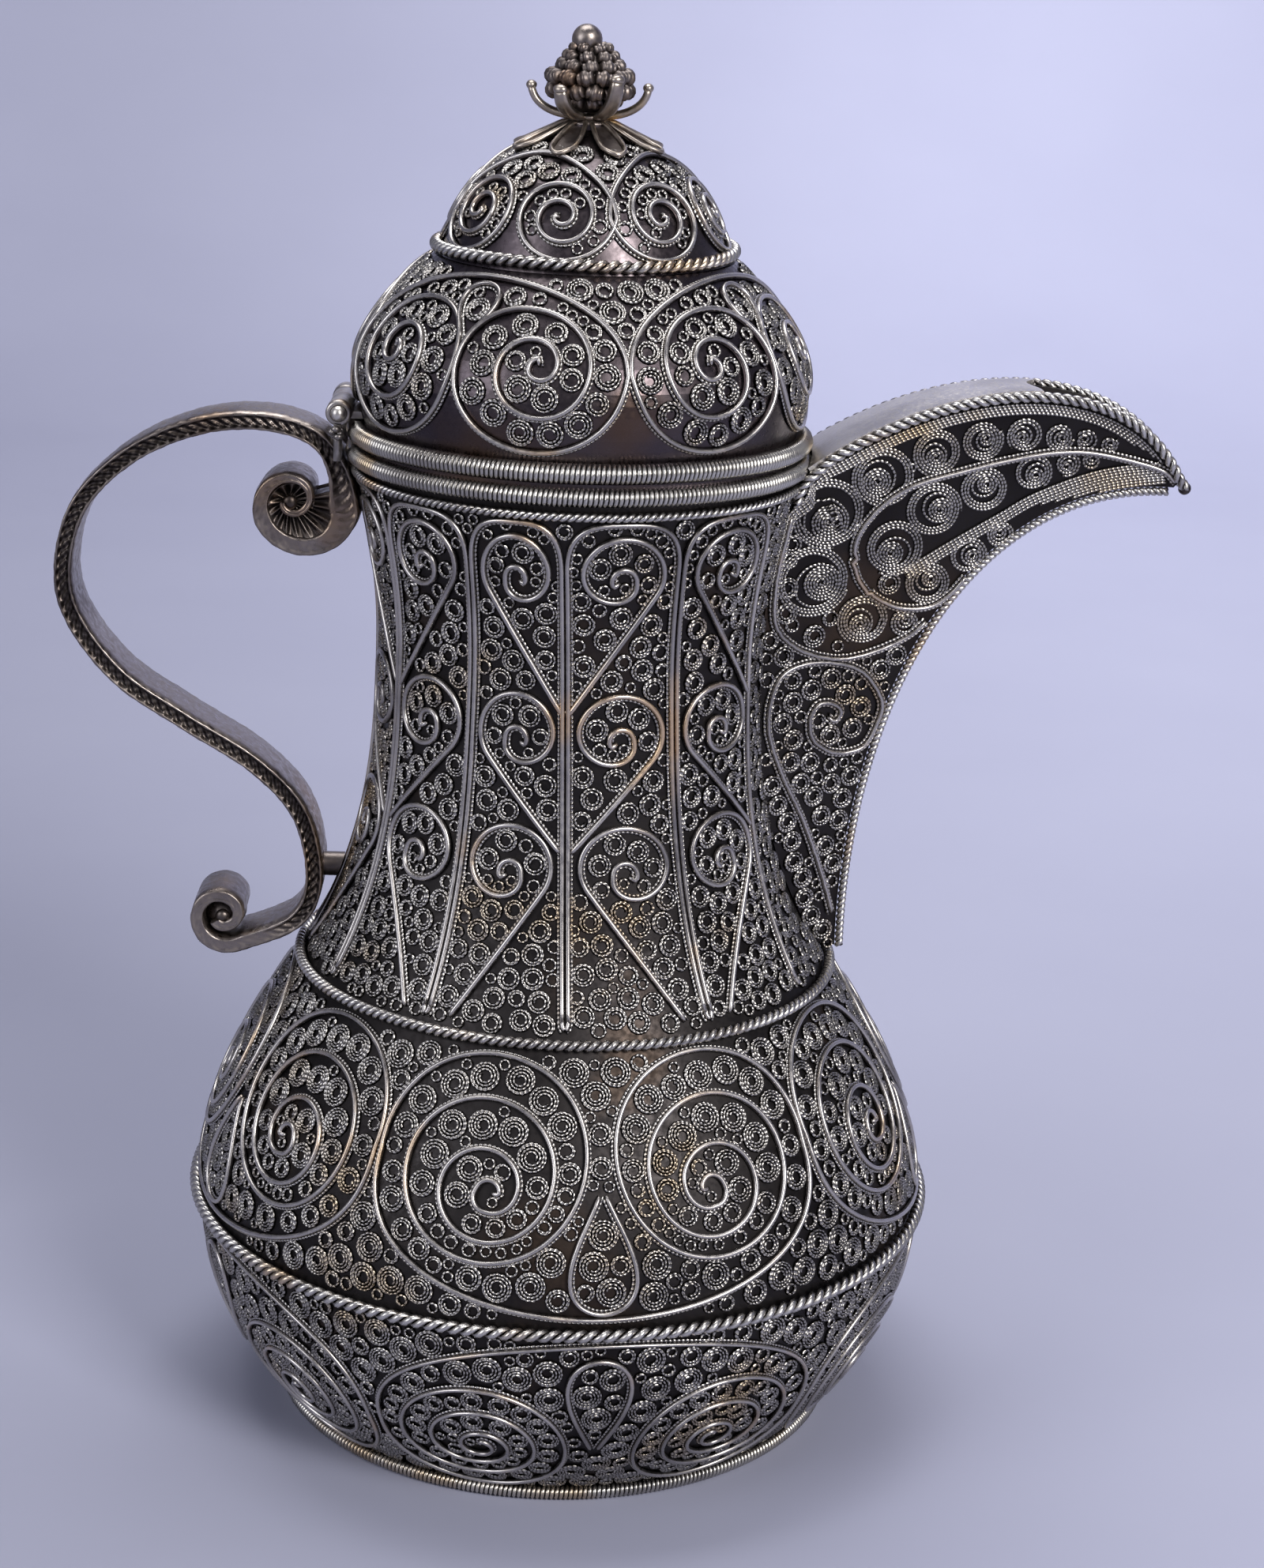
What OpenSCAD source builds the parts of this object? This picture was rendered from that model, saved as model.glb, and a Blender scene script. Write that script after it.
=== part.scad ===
// Dallah coffee pot: a spun sheet body with soldered filigree wire, wound and
// twisted wire bands, a cast scroll handle, a folded crescent spout and a
// two-dome lid on a pinned barrel hinge. Millimetres. The origin is on the
// pot's axis at the underside of the base, +Z is up, the spout points to +X,
// the handle to -X, and the pot is symmetric about the XZ plane.

/* [Body] */
// Radius of the sheet where it meets the base
foot_r = 48.4; // [45:0.1:52]
// Largest radius of the belly sheet
belly_r = 66.4; // [62:0.1:70]
// Height of the widest part of the belly
belly_z = 40.5; // [36:0.5:46]
// Radius of the sheet where belly and neck join
shoulder_r = 47.6; // [45:0.1:50]
// Height of the joint between belly and neck
shoulder_z = 84.5; // [80:0.5:88]
// Smallest radius of the neck sheet
waist_r = 34.2; // [32:0.1:36]
// Height of the narrowest part of the neck
waist_z = 145; // [138:0.5:150]
// Radius of the neck sheet under the rim
mouth_r = 38.7; // [37:0.1:40]
// Height of the top of the neck sheet
mouth_z = 175.8; // [172:0.1:180]
// How far the lip inside the rim steps in
rim_step = 0.5; // [0.4:0.05:1]
// Thickness of the spun sheet
sheet_t = 1.0; // [0.8:0.1:1.2]
// Thickness of the base plate
base_t = 1.0; // [0.8:0.1:1.6]

/* [Wire] */
// Diameter of the wound coil at foot, rim and lid
coil_d = 2.6; // [2:0.1:3]
// Diameter of the twisted rope at the belly
belly_rope_d = 2.3; // [1.8:0.1:2.8]
// Diameter of the twisted rope at the shoulder
shoulder_rope_d = 2.0; // [1.6:0.1:2.6]
// Diameter of the thin twisted rope under the rim
neck_rope_d = 1.2; // [1:0.1:1.4]
// Diameter of the twisted rope between the lid's domes
lid_rope_d = 2.2; // [1.8:0.1:2.6]
// Width of the flat scroll wire
wire_w = 1.0; // [0.8:0.1:1.2]
// Height that the flat scroll wire stands
wire_h = 0.8; // [0.6:0.1:1]
// Height of the flat wire's bends off the sheet; its straight runs come down to the sheet
bend_gap = 0.24; // [0.2:0.01:0.26]
// Solder gap between a soldered piece and its sheet
seat_gap = 0.12; // [0.1:0.01:0.2]
// Diameter of the twisted wire that the rosettes are rolled from
twist_d = 0.6; // [0.5:0.05:0.7]

/* [Filigree] */
// Number of fluted panels round the neck
neck_panels = 12; // [12:12]
// Radius of the comma scrolls on the neck
comma_r = 6.7; // [5.5:0.1:6.8]
// Number of medallion pairs round the belly
belly_pairs = 5; // [5:5]
// Radius of the large belly medallions
medallion_r = 17.9; // [15:0.1:18]
// Number of scrolls round each dome of the lid
lid_scrolls = 8; // [8:8]

/* [Spout] */
// Distance from the axis to the tip of the spout
spout_reach = 105.6; // [98:0.1:110]
// Height of the tip of the spout
spout_tip_z = 175.5; // [170:0.5:182]
// Half-width of the spout where it opens from the neck
spout_half_w = 10.4; // [8:0.1:11]
// Thickness of the folded spout sheet
spout_t = 1.0; // [0.8:0.1:1.2]
// Diameter of the rope along the spout's edges
spout_rope_d = 2.0; // [1.6:0.1:2.4]
// Thickness of the plain plate that closes the spout's top
spout_plate_t = 0.9; // [0.7:0.1:1.2]
// Share of the spout's length that the plate closes
spout_plate_end = 0.52; // [0.4:0.01:0.6]
// Diameter of the strainer holes through the neck
strainer_d = 4.2; // [3:0.1:5]

/* [Handle] */
// How far the handle's arch stands out beyond its solder points
handle_reach = 49.3; // [44:0.1:56]
// Width of the handle strap
handle_w = 12; // [10:0.5:14]
// Thickness of the handle strap
handle_t = 2.8; // [2.2:0.1:3.2]
// Depth of the channel in each side of the strap
channel_deep = 0.5; // [0.3:0.1:0.8]
// Height of the lower solder point of the handle
handle_foot_z = 100; // [96:0.5:104]
// How far the handle's upper solder point is below the top of the neck
handle_head_drop = 8.8; // [7.8:0.1:11.8]
// Distance from the neck's wires to the strap at the lower solder point
handle_stand = 3; // [2:0.1:5]
// Diameter of the solder lug
lug_d = 4.4; // [3:0.1:6]
// Radius of the handle's upper scroll
volute_r = 10.4; // [9:0.1:11]
// Radius of the handle's lower scroll
curl_r = 5.9; // [5:0.1:7]

/* [Lid] */
// Largest radius of the lid's lower dome
lid_r = 39.1; // [38.2:0.1:40]
// Height of the lower dome from its coil to its rope
lid_dome_h = 28.8; // [26:0.1:32]
// Radius of the lower dome at the rope
lid_seam_r = 25.9; // [24.5:0.1:27]
// Height of the upper dome
cap_h = 21.6; // [20:0.1:24]
// Radius of the upper dome at the rope
cap_r = 25.0; // [24.6:0.1:25.2]
// Depth of the lid's collar below the rim
collar_deep = 3.5; // [2.5:0.1:5]
// Radial clearance of the collar in the neck
collar_gap = 0.8; // [0.6:0.05:1.2]
// Gap between the two rim coils
coil_space = 1.7; // [1.2:0.1:2.5]

/* [Hinge] */
// Outer diameter of the hinge barrel
barrel_d = 4.2; // [3.6:0.1:4.4]
// Diameter of the hinge pin
pin_d = 2.2; // [1.6:0.1:2.4]
// Running clearance of the pin in its bore, on the radius
pin_clear = 0.06; // [0.04:0.01:0.1]
// Length of the lid's middle knuckle
lid_knuckle_l = 10.8; // [8:0.1:11]
// Length of each knuckle on the pot
pot_knuckle_l = 3.9; // [3:0.1:5]
// Gap between neighbouring knuckles
knuckle_gap = 0.2; // [0.1:0.05:0.3]

/* [Finial] */
// Number of petals in the lower flower
flower_petals = 8; // [6:10]
// Radius to the tips of the lower flower
flower_r = 13.4; // [11:0.1:15]
// Number of petals in the calyx
calyx_petals = 6; // [5:7]
// Radius to the tips of the calyx
calyx_r = 10.2; // [8.5:0.1:11]
// Thickness of the petals
petal_t = 0.8; // [0.6:0.1:1]
// Diameter of the largest beads of the cluster
bead_d = 3.4; // [2.8:0.1:3.6]
// Diameter of the ball on top
ball_d = 5.2; // [4:0.1:6]
// Diameter of the stem that carries the finial
stem_d = 2.4; // [2:0.1:3]

/* [Hidden] */

silver = "#8f8b86";
bright = "#c9c7c4";
dark = "#57504c";

// Slopes of the outline, as radius per height
foot_flare = 1.05;
belly_slope = -0.74;
neck_slope = -0.62;
mouth_flare = 0.2;
lid_seam_slope = -1.05;
cap_base_slope = -0.4;
cap_top_slope = -2.4;

// Outlines of the sheet's outer face: [height, radius, slope]
BELLY = [[base_t, foot_r, foot_flare], [belly_z, belly_r, 0], [shoulder_z, shoulder_r, belly_slope]];
NECK = [[shoulder_z, shoulder_r, neck_slope], [waist_z, waist_r, 0], [mouth_z, mouth_r, mouth_flare]];
lip_r = mouth_r - rim_step;
rim_z = mouth_z + seat_gap + coil_d;
lid_z = rim_z + coil_space;
lid_coil_z = lid_z + coil_d / 2;
lid_skirt_r = lid_r - 1.35;
lid_bulge_z = lid_z + 11.3;
lid_seam_z = lid_coil_z + lid_dome_h + 1.3;
LID = [[lid_z + coil_d, lid_skirt_r, 0.3], [lid_bulge_z, lid_r, 0],
    [lid_seam_z, lid_seam_r, lid_seam_slope]];
cap_top_z = lid_seam_z + cap_h;
cap_top_r = 4.2;
CAP = [[lid_seam_z, cap_r, cap_base_slope], [cap_top_z, cap_top_r, cap_top_slope]];
ledge_t = 1.0;
$fn = 96;

// ---- Outlines and places on them ----

// Cubic through two stations with their slopes
function hermite(a, b, z) = let (h = b[0] - a[0], t = (z - a[0]) / h)
    (1 + 2 * t) * (1 - t) ^ 2 * a[1] + t * (1 - t) ^ 2 * h * a[2]
    + t * t * (3 - 2 * t) * b[1] + t * t * (t - 1) * h * b[2];

function span_of(line, z) = [for (k = [0 : len(line) - 2])
    if (z <= line[k + 1][0] || k == len(line) - 2) k][0];

function radius_at(line, z) = let (k = span_of(line, z)) hermite(line[k], line[k + 1], z);

function slope_at(line, z) = (radius_at(line, z + 0.05) - radius_at(line, z - 0.05)) / 0.1;

// Length along the outline for one unit of height
function lean_at(line, z) = sqrt(1 + slope_at(line, z) ^ 2);

function normal_at(line, a, z) = let (s = slope_at(line, z)) [cos(a), sin(a), -s] / sqrt(1 + s * s);

function on_surface(line, a, z, off) = let (r = radius_at(line, z))
    [r * cos(a), r * sin(a), z] + off * normal_at(line, a, z);

// A shape drawn flat as [across, up], laid on the sheet round a centre
function lay(line, a0, z0, shape) = let (k = lean_at(line, z0))
    [for (p = shape) let (z = z0 + p[1] / k) [a0 + p[0] / radius_at(line, z) * 180 / PI, z]];

// Heights from z0 to z1 in steps of about 2 mm
function heights(z0, z1) = let (n = ceil((z1 - z0) / 2)) [for (i = [0 : n]) z0 + (z1 - z0) * i / n];

// Sheet between two heights: outer face, an edge over the top, the inner face
// a wall further in, and an edge under the foot
module spun_sheet(line, z0, z1, wall, top = [], foot = []) {
    up = heights(z0, z1);
    rotate_extrude() polygon(concat(
        [for (z = up) [radius_at(line, z), z]], top,
        [for (i = [len(up) - 1 : -1 : 0]) let (z = up[i])
            [radius_at(line, z) - wall * lean_at(line, z), z]], foot));
}

// Space that a sheet fills, grown by a gap
module sheet_space(line, z0, z1, gap) {
    up = heights(z0, z1);
    rotate_extrude() polygon(concat([[0, z0]],
        [for (z = up) [radius_at(line, z) + gap * lean_at(line, z), z]], [[0, z1]]));
}

module ring(r, z, d) {
    translate([0, 0, z]) rotate_extrude() translate([r, 0]) circle(d = d, $fn = 32);
}

// Ring of round wire lying on a sheet at a height
module band_on(line, z, d) {
    p = on_surface(line, 0, z, d / 2 + seat_gap);
    ring(p[0], p[2], d);
}

// ---- Swept wire ----

function unit(v) = v / norm(v);

function heading(path, i) = unit(path[min(i + 1, len(path) - 1)] - path[max(i - 1, 0)]);

// Skin over a row of rings with the same number of corners
module skin(rings) {
    n = len(rings);
    m = len(rings[0]);
    polyhedron(
        points = [for (r = rings) each r],
        faces = concat(
            [[for (j = [m - 1 : -1 : 0]) j]],
            [for (i = [0 : n - 2], j = [0 : m - 1]) each let (k = (j + 1) % m)
                [[i * m + j, (i + 1) * m + k, (i + 1) * m + j], [i * m + j, i * m + k, (i + 1) * m + k]]],
            [[for (j = [0 : m - 1]) (n - 1) * m + j]]));
}

// Flat wire on edge along [angle, height] places on a sheet
module flat_wire(line, places) {
    foot = [for (p = places) on_surface(line, p[0], p[1], bend_gap)];
    up = [for (p = places) normal_at(line, p[0], p[1])];
    side = [for (i = [0 : len(foot) - 1]) unit(cross(heading(foot, i), up[i])) * wire_w / 2];
    skin([for (i = [0 : len(foot) - 1]) let (top = foot[i] + up[i] * wire_h)
        [foot[i] - side[i], foot[i] + side[i], top + side[i], top - side[i]]]);
}

// Round wire along a path, with corners enough for its size
module round_wire(path, d, corners = 8) {
    skin([for (i = [0 : len(path) - 1]) let (
        t = heading(path, i),
        a = unit(cross(t, [0, 1, 0.01])),
        b = cross(a, t))
        [for (j = [0 : corners - 1]) let (turn = 360 * j / corners)
            path[i] + (a * cos(turn) + b * sin(turn)) * d / 2]]);
}

// ---- Filigree figures, drawn flat as [across, up] ----

function smooth(t) = let (c = min(max(t, 0), 1)) c * c * (3 - 2 * c);

function mirrored(shape, side) = [for (p = shape) [p[0] * side, p[1]]];

// Size of a comma's eye as a share of its head
eye_share = 0.27;

// Comma: a straight tail at an angle, a round head, and a hook curled inside it
function comma(r, lean, tail, steps) = let (
    lead = -lean,
    last = 590,
    start = [-cos(lead), sin(lead)] * r,
    away = [sin(-lead), -cos(lead)] * tail)
    concat([start + away, start + away * 0.67, start + away * 0.33],
        [for (i = [0 : steps]) let (turn = lead + (last - lead) * i / steps,
            rho = r * (1 + (eye_share - 1) * smooth((turn - 150) / 230)))
            rho * [-cos(turn), sin(turn)]]);

// Spiral that winds in from the left side by an even step for each turn
function winding(r0, r1, turns, steps) =
    [for (i = [0 : steps]) let (f = 1 - (1 - i / steps) ^ 0.8, turn = 360 * turns * f)
        (r0 + (r1 - r0) * f) * [-cos(turn), sin(turn)]];

// Teardrop: its two ends stand side by side at the point on top
function teardrop(half_w, tall, steps) = let (nib = wire_w / 2 + seat_gap)
    [for (i = [0 : steps]) let (turn = 14 + 332 * i / steps)
        [1.4 * (half_w - nib / 2) * sin(turn) * sin(turn / 2) ^ 1.5 + nib * cos(turn / 2),
            tall / 2 * cos(turn)]];

// ---- Pot body ----

module base_plate() {
    color(dark) cylinder(r = foot_r, h = base_t);
}

module foot_coil() {
    z = coil_d / 2 + 0.05;
    color(bright) ring(radius_at(BELLY, z) + (coil_d / 2 + seat_gap) * lean_at(BELLY, base_t), z, coil_d);
}

module lower_belly() {
    color(silver) spun_sheet(BELLY, base_t, belly_z, sheet_t);
}

module belly_rope() {
    color(bright) band_on(BELLY, belly_z, belly_rope_d);
}

module upper_belly() {
    color(silver) spun_sheet(BELLY, belly_z, shoulder_z, sheet_t);
}

module shoulder_rope() {
    color(bright) band_on(NECK, shoulder_z, shoulder_rope_d);
}

module neck() {
    color(silver) difference() {
        spun_sheet(NECK, shoulder_z, mouth_z, sheet_t,
            top = [[lip_r, mouth_z], [lip_r, rim_z], [lip_r - sheet_t, rim_z], [lip_r - sheet_t, mouth_z]]);
        strainer();
    }
}

// Rows of round holes from the neck into the spout
strainer_pitch = 6.2;
strainer_rows = 9;
strainer_z = 106;

module strainer() {
    for (row = [0 : strainer_rows - 1], k = [-1 : 1])
        if (row % 2 == 0 || k < 1)
            translate([0, (k + (row % 2) / 2) * strainer_pitch, strainer_z + row * strainer_pitch])
                rotate([0, 90, 0]) cylinder(d = strainer_d, h = mouth_r + 5);
}

module neck_rope() {
    color(bright) band_on(NECK, mouth_z - neck_rope_d / 2 - 0.8, neck_rope_d);
}

module rim_coil() {
    color(bright) ring(lip_r + seat_gap + coil_d / 2, mouth_z + seat_gap + coil_d / 2, coil_d);
}

// ---- Neck filigree ----

// The front of the pot, which every pattern is centred on
front = -90;
panel_a = 360 / neck_panels;
rib_foot_z = shoulder_z + 3;
rib_head_z = mouth_z - 12;
arch_z = mouth_z - 3;
// Distance from a rib's middle to each of its two wires
rib_space = wire_w / 2 + 0.16;
arch_steps = 10;
NECK_PANEL_CENTRES = [for (k = [0 : neck_panels - 1]) front + (k + 0.5) * panel_a];

// The two panels that the spout covers have no filigree
function beside_spout(a) = abs((a + 540) % 360 - 180) < panel_a * 0.6;

function rib_half(z) = rib_space / radius_at(NECK, z) * 180 / PI;

// Upright wire on the neck: a slice of a shell of revolution, centred on an angle
module upright_wire(a, z0, z1) {
    up = heights(z0, z1);
    wide = wire_w / waist_r * 180 / PI;
    function face(off) = [for (z = up) let (p = on_surface(NECK, 0, z, off)) [p[0], p[2]]];
    inner = face(seat_gap);
    outer = face(seat_gap + wire_h);
    rotate([0, 0, a - wide / 2]) rotate_extrude(angle = wide)
        polygon(concat(inner, [for (i = [len(outer) - 1 : -1 : 0]) outer[i]]));
}

// The arch that joins the uprights of a panel over its top
function panel_arch(a0) = let (w = panel_a / 2 - rib_half(rib_head_z))
    [for (i = [0 : arch_steps]) let (turn = 180 * i / arch_steps)
        [a0 - w * cos(turn), rib_head_z + seat_gap + (arch_z - rib_head_z) * sin(turn)]];

module neck_ribs() {
    color(bright) for (a = NECK_PANEL_CENTRES) if (!beside_spout(a)) {
        w = panel_a / 2 - rib_half(rib_head_z);
        for (side = [-1, 1]) upright_wire(a + side * w, rib_foot_z, rib_head_z);
        flat_wire(NECK, panel_arch(a));
    }
}

// How far the middles of the two upper rows of commas are below the top of the neck
high_row_drop = 12.3;
mid_row_drop = 39.2;
// Height of the lower row's middle over the shoulder
low_row_rise = 28.5;
// Rows of commas: [height, size, lean of the tail, its length, its side]
COMMA_ROWS = [[mouth_z - high_row_drop, 1, 33, 20, 1], [mouth_z - mid_row_drop, 0.97, 43, 16, 1],
    [shoulder_z + low_row_rise, 1.05, 32, 24, -1]];
comma_steps = 15;

module neck_scrolls() {
    color(bright) for (k = [0 : neck_panels - 1]) let (a = NECK_PANEL_CENTRES[k]) if (!beside_spout(a))
        for (row = COMMA_ROWS) let (
            shape = comma(comma_r * row[1], row[2], row[3], comma_steps),
            side = (k % 2 == 0 ? -1 : 1) * row[4])
            flat_wire(NECK, lay(NECK, a, row[0], mirrored(shape, side)));
}

// ---- Belly filigree ----

pair_a = 360 / belly_pairs;
pair_front = front + 7;
// Heights over the belly's widest part
medallion_rise = 26;
drop_rise = 13.6;
drop_half_w = 5.4;
drop_tall = 19;
cartouche_r = 14.5;
cartouche_turns = 2.5;
CARTOUCHE = winding(cartouche_r, 2, cartouche_turns, 20);
cartouche_z = belly_z * 0.47;
medallion_half_a = pair_a / 4;
medallion_z = belly_z + medallion_rise;
// By how many degrees the handwork spreads towards the front
front_spread = 3.4;

function spread(places) = [for (p = places) [p[0] + front_spread * sin(p[0] - pair_front), p[1]]];

// Medallion: it winds in from the left side and sinks a little, to a small eye
function medallion(r, steps) = let (eye = 1.9, wound = 990, last = 1240)
    [for (i = [0 : steps]) let (
        turn = last * (1 - (1 - i / steps) ^ 0.8),
        rho = r + (1.65 * eye - r) * min(1, turn / wound) ^ 1.15 - 0.65 * eye * smooth((turn - wound) / 120),
        sink = smooth(turn / wound))
        [0.9 * sink - rho * cos(turn), 1.08 * rho * sin(turn) - 3.8 * sink]];

// One wire: in from one eye, round the foot of the pair, and in to the other eye
module medallion_pair(a0) {
    spiral = lay(BELLY, a0 - medallion_half_a, medallion_z, medallion(medallion_r, 31));
    turn_z = belly_z + belly_rope_d / 2 + wire_w;
    start = spiral[0];
    leg = [for (turn = [4.5 : 9 : 82])
        [a0 + (start[0] - a0) * sin(turn), start[1] + (turn_z - start[1]) * cos(turn) ^ 0.8]];
    half = concat(leg, spiral);
    flat_wire(BELLY, spread(concat([for (i = [len(half) - 1 : -1 : 0]) half[i]],
        [for (p = half) [2 * a0 - p[0], p[1]]])));
}

module belly_medallions() {
    color(bright) for (k = [0 : belly_pairs - 1]) medallion_pair(pair_front + k * pair_a);
}

module belly_drops() {
    color(bright) for (k = [0 : belly_pairs - 1])
        flat_wire(BELLY, spread(lay(BELLY, pair_front + k * pair_a, belly_z + drop_rise,
            teardrop(drop_half_w, drop_tall, 16))));
}

module lower_cartouches() {
    color(bright) for (k = [0 : belly_pairs - 1], side = [-1, 1])
        flat_wire(BELLY, spread(lay(BELLY, pair_front + k * pair_a + side * medallion_half_a, cartouche_z,
            mirrored(CARTOUCHE, -side))));
}

// ---- Rosettes ----

rosette_hole = 0.6;
rosette_most = 1.9;
rosette_gap = 0.12;
// Room lost between two rosettes where the handwork is drawn together
crowding = 0.4;

// Twisted wire rolled to a flat disc with an open middle
module rosette(line, a, z, r) {
    translate(on_surface(line, a, z, seat_gap)) rotate([0, 90 + atan(slope_at(line, z)), a])
        rotate_extrude($fn = 32) translate([rosette_hole, 0]) square([r - rosette_hole, twist_d]);
}

// A place on the lower cartouche's wire after some degrees of its winding
function at_turn(turn) = let (
    i = (len(CARTOUCHE) - 1) * (1 - (1 - turn / 360 / cartouche_turns) ^ 1.25),
    k = floor(i))
    CARTOUCHE[k] + (CARTOUCHE[k + 1] - CARTOUCHE[k]) * (i - k);

// A row of [across, up, radius] midway between one turn and the next, each beside the last
function rosette_row(turn, stop) = turn > stop ? [] : let (
    p = at_turn(turn),
    q = at_turn(turn + 360),
    mid = (p + q) / 2,
    r = min(rosette_most, 0.46 * norm(p - q) - wire_w / 2 - rosette_gap))
    concat([[mid[0], mid[1], r]],
        rosette_row(turn + (2 * r + crowding) / norm(mid) * 180 / PI, stop));

module lower_rosettes() {
    row = rosette_row(10, 350);
    color(bright) for (k = [0 : belly_pairs - 1], side = [-1, 1], rose = row) let (
        place = spread(lay(BELLY, pair_front + k * pair_a + side * medallion_half_a, cartouche_z,
            [[-rose[0] * side, rose[1]]]))[0])
        rosette(BELLY, place[0], place[1], rose[2]);
}

// Rosettes round each comma: [across, up, radius], for each of the three rows
COMMA_ROSES = [
    [[-4.1, 1.2, 1.5], [-1.6, 4.0, 1.5], [2.2, 3.7, 1.5], [6.2, -6.9, 1.7], [5.6, -10.9, 1.7],
        [-6.2, -8.6, 1.7], [-5.9, -12.4, 1.7], [-6.1, -16.3, 1.7], [-2.4, -17.6, 1.5]],
    [[-3.9, 1.1, 1.4], [-1.5, 3.8, 1.4], [2.1, 3.5, 1.4], [5.6, -6.9, 1.6], [5.5, -10.7, 1.6],
        [-5.7, -9.3, 1.6], [-5.6, -13.1, 1.6], [-2.1, -12.1, 1.4]],
    [[-4.2, 1.2, 1.6], [-1.6, 4.2, 1.6], [2.3, 3.9, 1.6], [6.4, -7.4, 1.8], [6.0, -11.4, 1.8],
        [7.0, -15.5, 1.8], [-6.7, -9.2, 1.8], [-6.1, -13.1, 1.8], [-7.0, -17.1, 1.8],
        [-3.2, -18.2, 1.7], [-6.6, -22, 1.8], [-2.6, -22.2, 1.7], [-8.4, -26, 1.7],
        [-4.6, -26.2, 1.7], [-0.8, -26.4, 1.7], [3.0, -26.4, 1.7]]];

module neck_rosettes() {
    color(bright) for (k = [0 : neck_panels - 1]) let (a = NECK_PANEL_CENTRES[k]) if (!beside_spout(a))
        for (row = [0 : 2], rose = COMMA_ROSES[row]) let (
            side = (k % 2 == 0 ? -1 : 1) * COMMA_ROWS[row][4],
            place = lay(NECK, a, COMMA_ROWS[row][0], [[rose[0] * side, rose[1]]])[0])
            rosette(NECK, place[0], place[1], rose[2]);
}

// ---- Spout ----

function bezier(p, t) = (1 - t) ^ 3 * p[0] + 3 * (1 - t) ^ 2 * t * p[1]
    + 3 * (1 - t) * t * t * p[2] + t ^ 3 * p[3];

rim_out_r = lip_r + 2 * seat_gap + coil_d;
spout_tip = [spout_reach, spout_tip_z];
spout_run = spout_reach - rim_out_r;
// Top edge and keel as curves in the XZ plane
TOP_EDGE = [[rim_out_r, mouth_z + 2], [rim_out_r + 0.34 * spout_run, mouth_z + 17.5],
    [spout_tip[0] - 0.17 * spout_run, spout_tip[1] + 22], spout_tip];
KEEL = [[shoulder_r + 1.9, shoulder_z + 2.4], [shoulder_r + 0.9, waist_z - 12],
    [spout_tip[0] - 0.58 * spout_run, spout_tip[1] + 0.4], [spout_tip[0] - 0.8, spout_tip[1] - 1.2]];
spout_steps = 24;
// Share of the stations that run up the neck, before the free top edge
neck_share = 0.42;
spout_foot_z = shoulder_z + 3.5;
tip_half_w = 0.8;

function spout_width(t) = (spout_half_w - tip_half_w) * (1 - t) ^ 0.8 + tip_half_w;

// Radius that the panels' rear edges keep to: the sheet, then out over the rope and coil
function seat_radius(z) = let (r = radius_at(NECK, z) + 2 * seat_gap)
    r + (rim_out_r - r) * smooth((z - mouth_z + 6) / 3.5);

// Half-width of the spout's mouth on the neck
function mouth_half(t) = spout_half_w * (0.12 + 0.88 * sin(90 * min(1, t * 2.2)));

// A side panel's edge at a station, from the shoulder to the rim and on to the tip;
// in_by moves it towards the middle
function panel_edge(s, in_by) = s < neck_share
    ? let (t = s / neck_share, z = spout_foot_z + (mouth_z + 1 - spout_foot_z) * t,
        y = mouth_half(t) * (1 - in_by), r = seat_radius(z)) [sqrt(r * r - y * y), y, z]
    : let (t = (s - neck_share) / (1 - neck_share), p = bezier(TOP_EDGE, t))
        [t == 0 ? sqrt(rim_out_r ^ 2 - (spout_half_w * (1 - in_by)) ^ 2) : p[0],
            spout_width(t) * (1 - in_by), p[1]];

function keel_at(s) = let (p = bezier(KEEL, s)) [p[0], 0, p[1]];

function flip(p) = [p[0], -p[1], p[2]];

// Share of the half-width that the panel's thickness takes
function wall_share(s) = min(0.8, 1.05 * spout_t / panel_edge(s, 0)[1]);

module spout_body() {
    color(silver) skin([for (i = [0 : spout_steps]) let (
        s = i / spout_steps,
        edge = panel_edge(s, 0),
        in_edge = panel_edge(s, wall_share(s)),
        keel = keel_at(s),
        span = norm(edge - keel),
        in_keel = keel + unit([edge[0] - keel[0], 0, edge[2] - keel[2]])
            * min(spout_t * span / edge[1], span * 0.5))
        [keel, flip(edge), flip(in_edge), in_keel, in_edge, edge]]);
}

function top_at(t) = panel_edge(neck_share + t * (1 - neck_share), 0);

function top_up(t) = let (run = bezier(TOP_EDGE, t + 0.01) - bezier(TOP_EDGE, t - 0.01))
    unit([-run[1], 0, run[0]]);

module spout_top_plate() {
    first = 0.04;
    steps = 10;
    color(bright) skin([for (i = [0 : steps]) let (
        t = first + (spout_plate_end - first) * i / steps,
        low = top_at(t) + top_up(t) * seat_gap,
        high = low + top_up(t) * spout_plate_t)
        [low, flip(low), flip(high), high]]);
}

rope_off = spout_rope_d / 2 + seat_gap;

// Ropes outside the top edges, one each side
module spout_edge_ropes() {
    steps = 16;
    color(bright) for (side = [-1, 1])
        round_wire([for (i = [0 : steps]) let (p = top_at(0.05 + 0.92 * i / steps))
            [p[0], side * (p[1] + rope_off), p[2]]], spout_rope_d, 6);
}

module spout_keel_rope() {
    steps = 18;
    color(bright) round_wire([for (i = [0 : steps]) let (s = 0.03 + 0.93 * i / steps,
        run = unit(keel_at(s + 0.01) - keel_at(s - 0.01)))
        keel_at(s) + [run[2], 0, -run[0]] * rope_off], spout_rope_d, 6);
}

// A place on the outside of a side panel: along the spout, and from keel to edge
function on_panel(s, f, off, side) = let (
    edge = panel_edge(s, 0),
    keel = keel_at(s),
    run = unit(keel_at(s + 0.01) - keel_at(s - 0.01)),
    out = unit(cross(run, edge - keel)),
    p = keel + (edge - keel) * f + out * (out[1] > 0 ? 1 : -1) * off)
    [p[0], side * p[1], p[2]];

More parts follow.
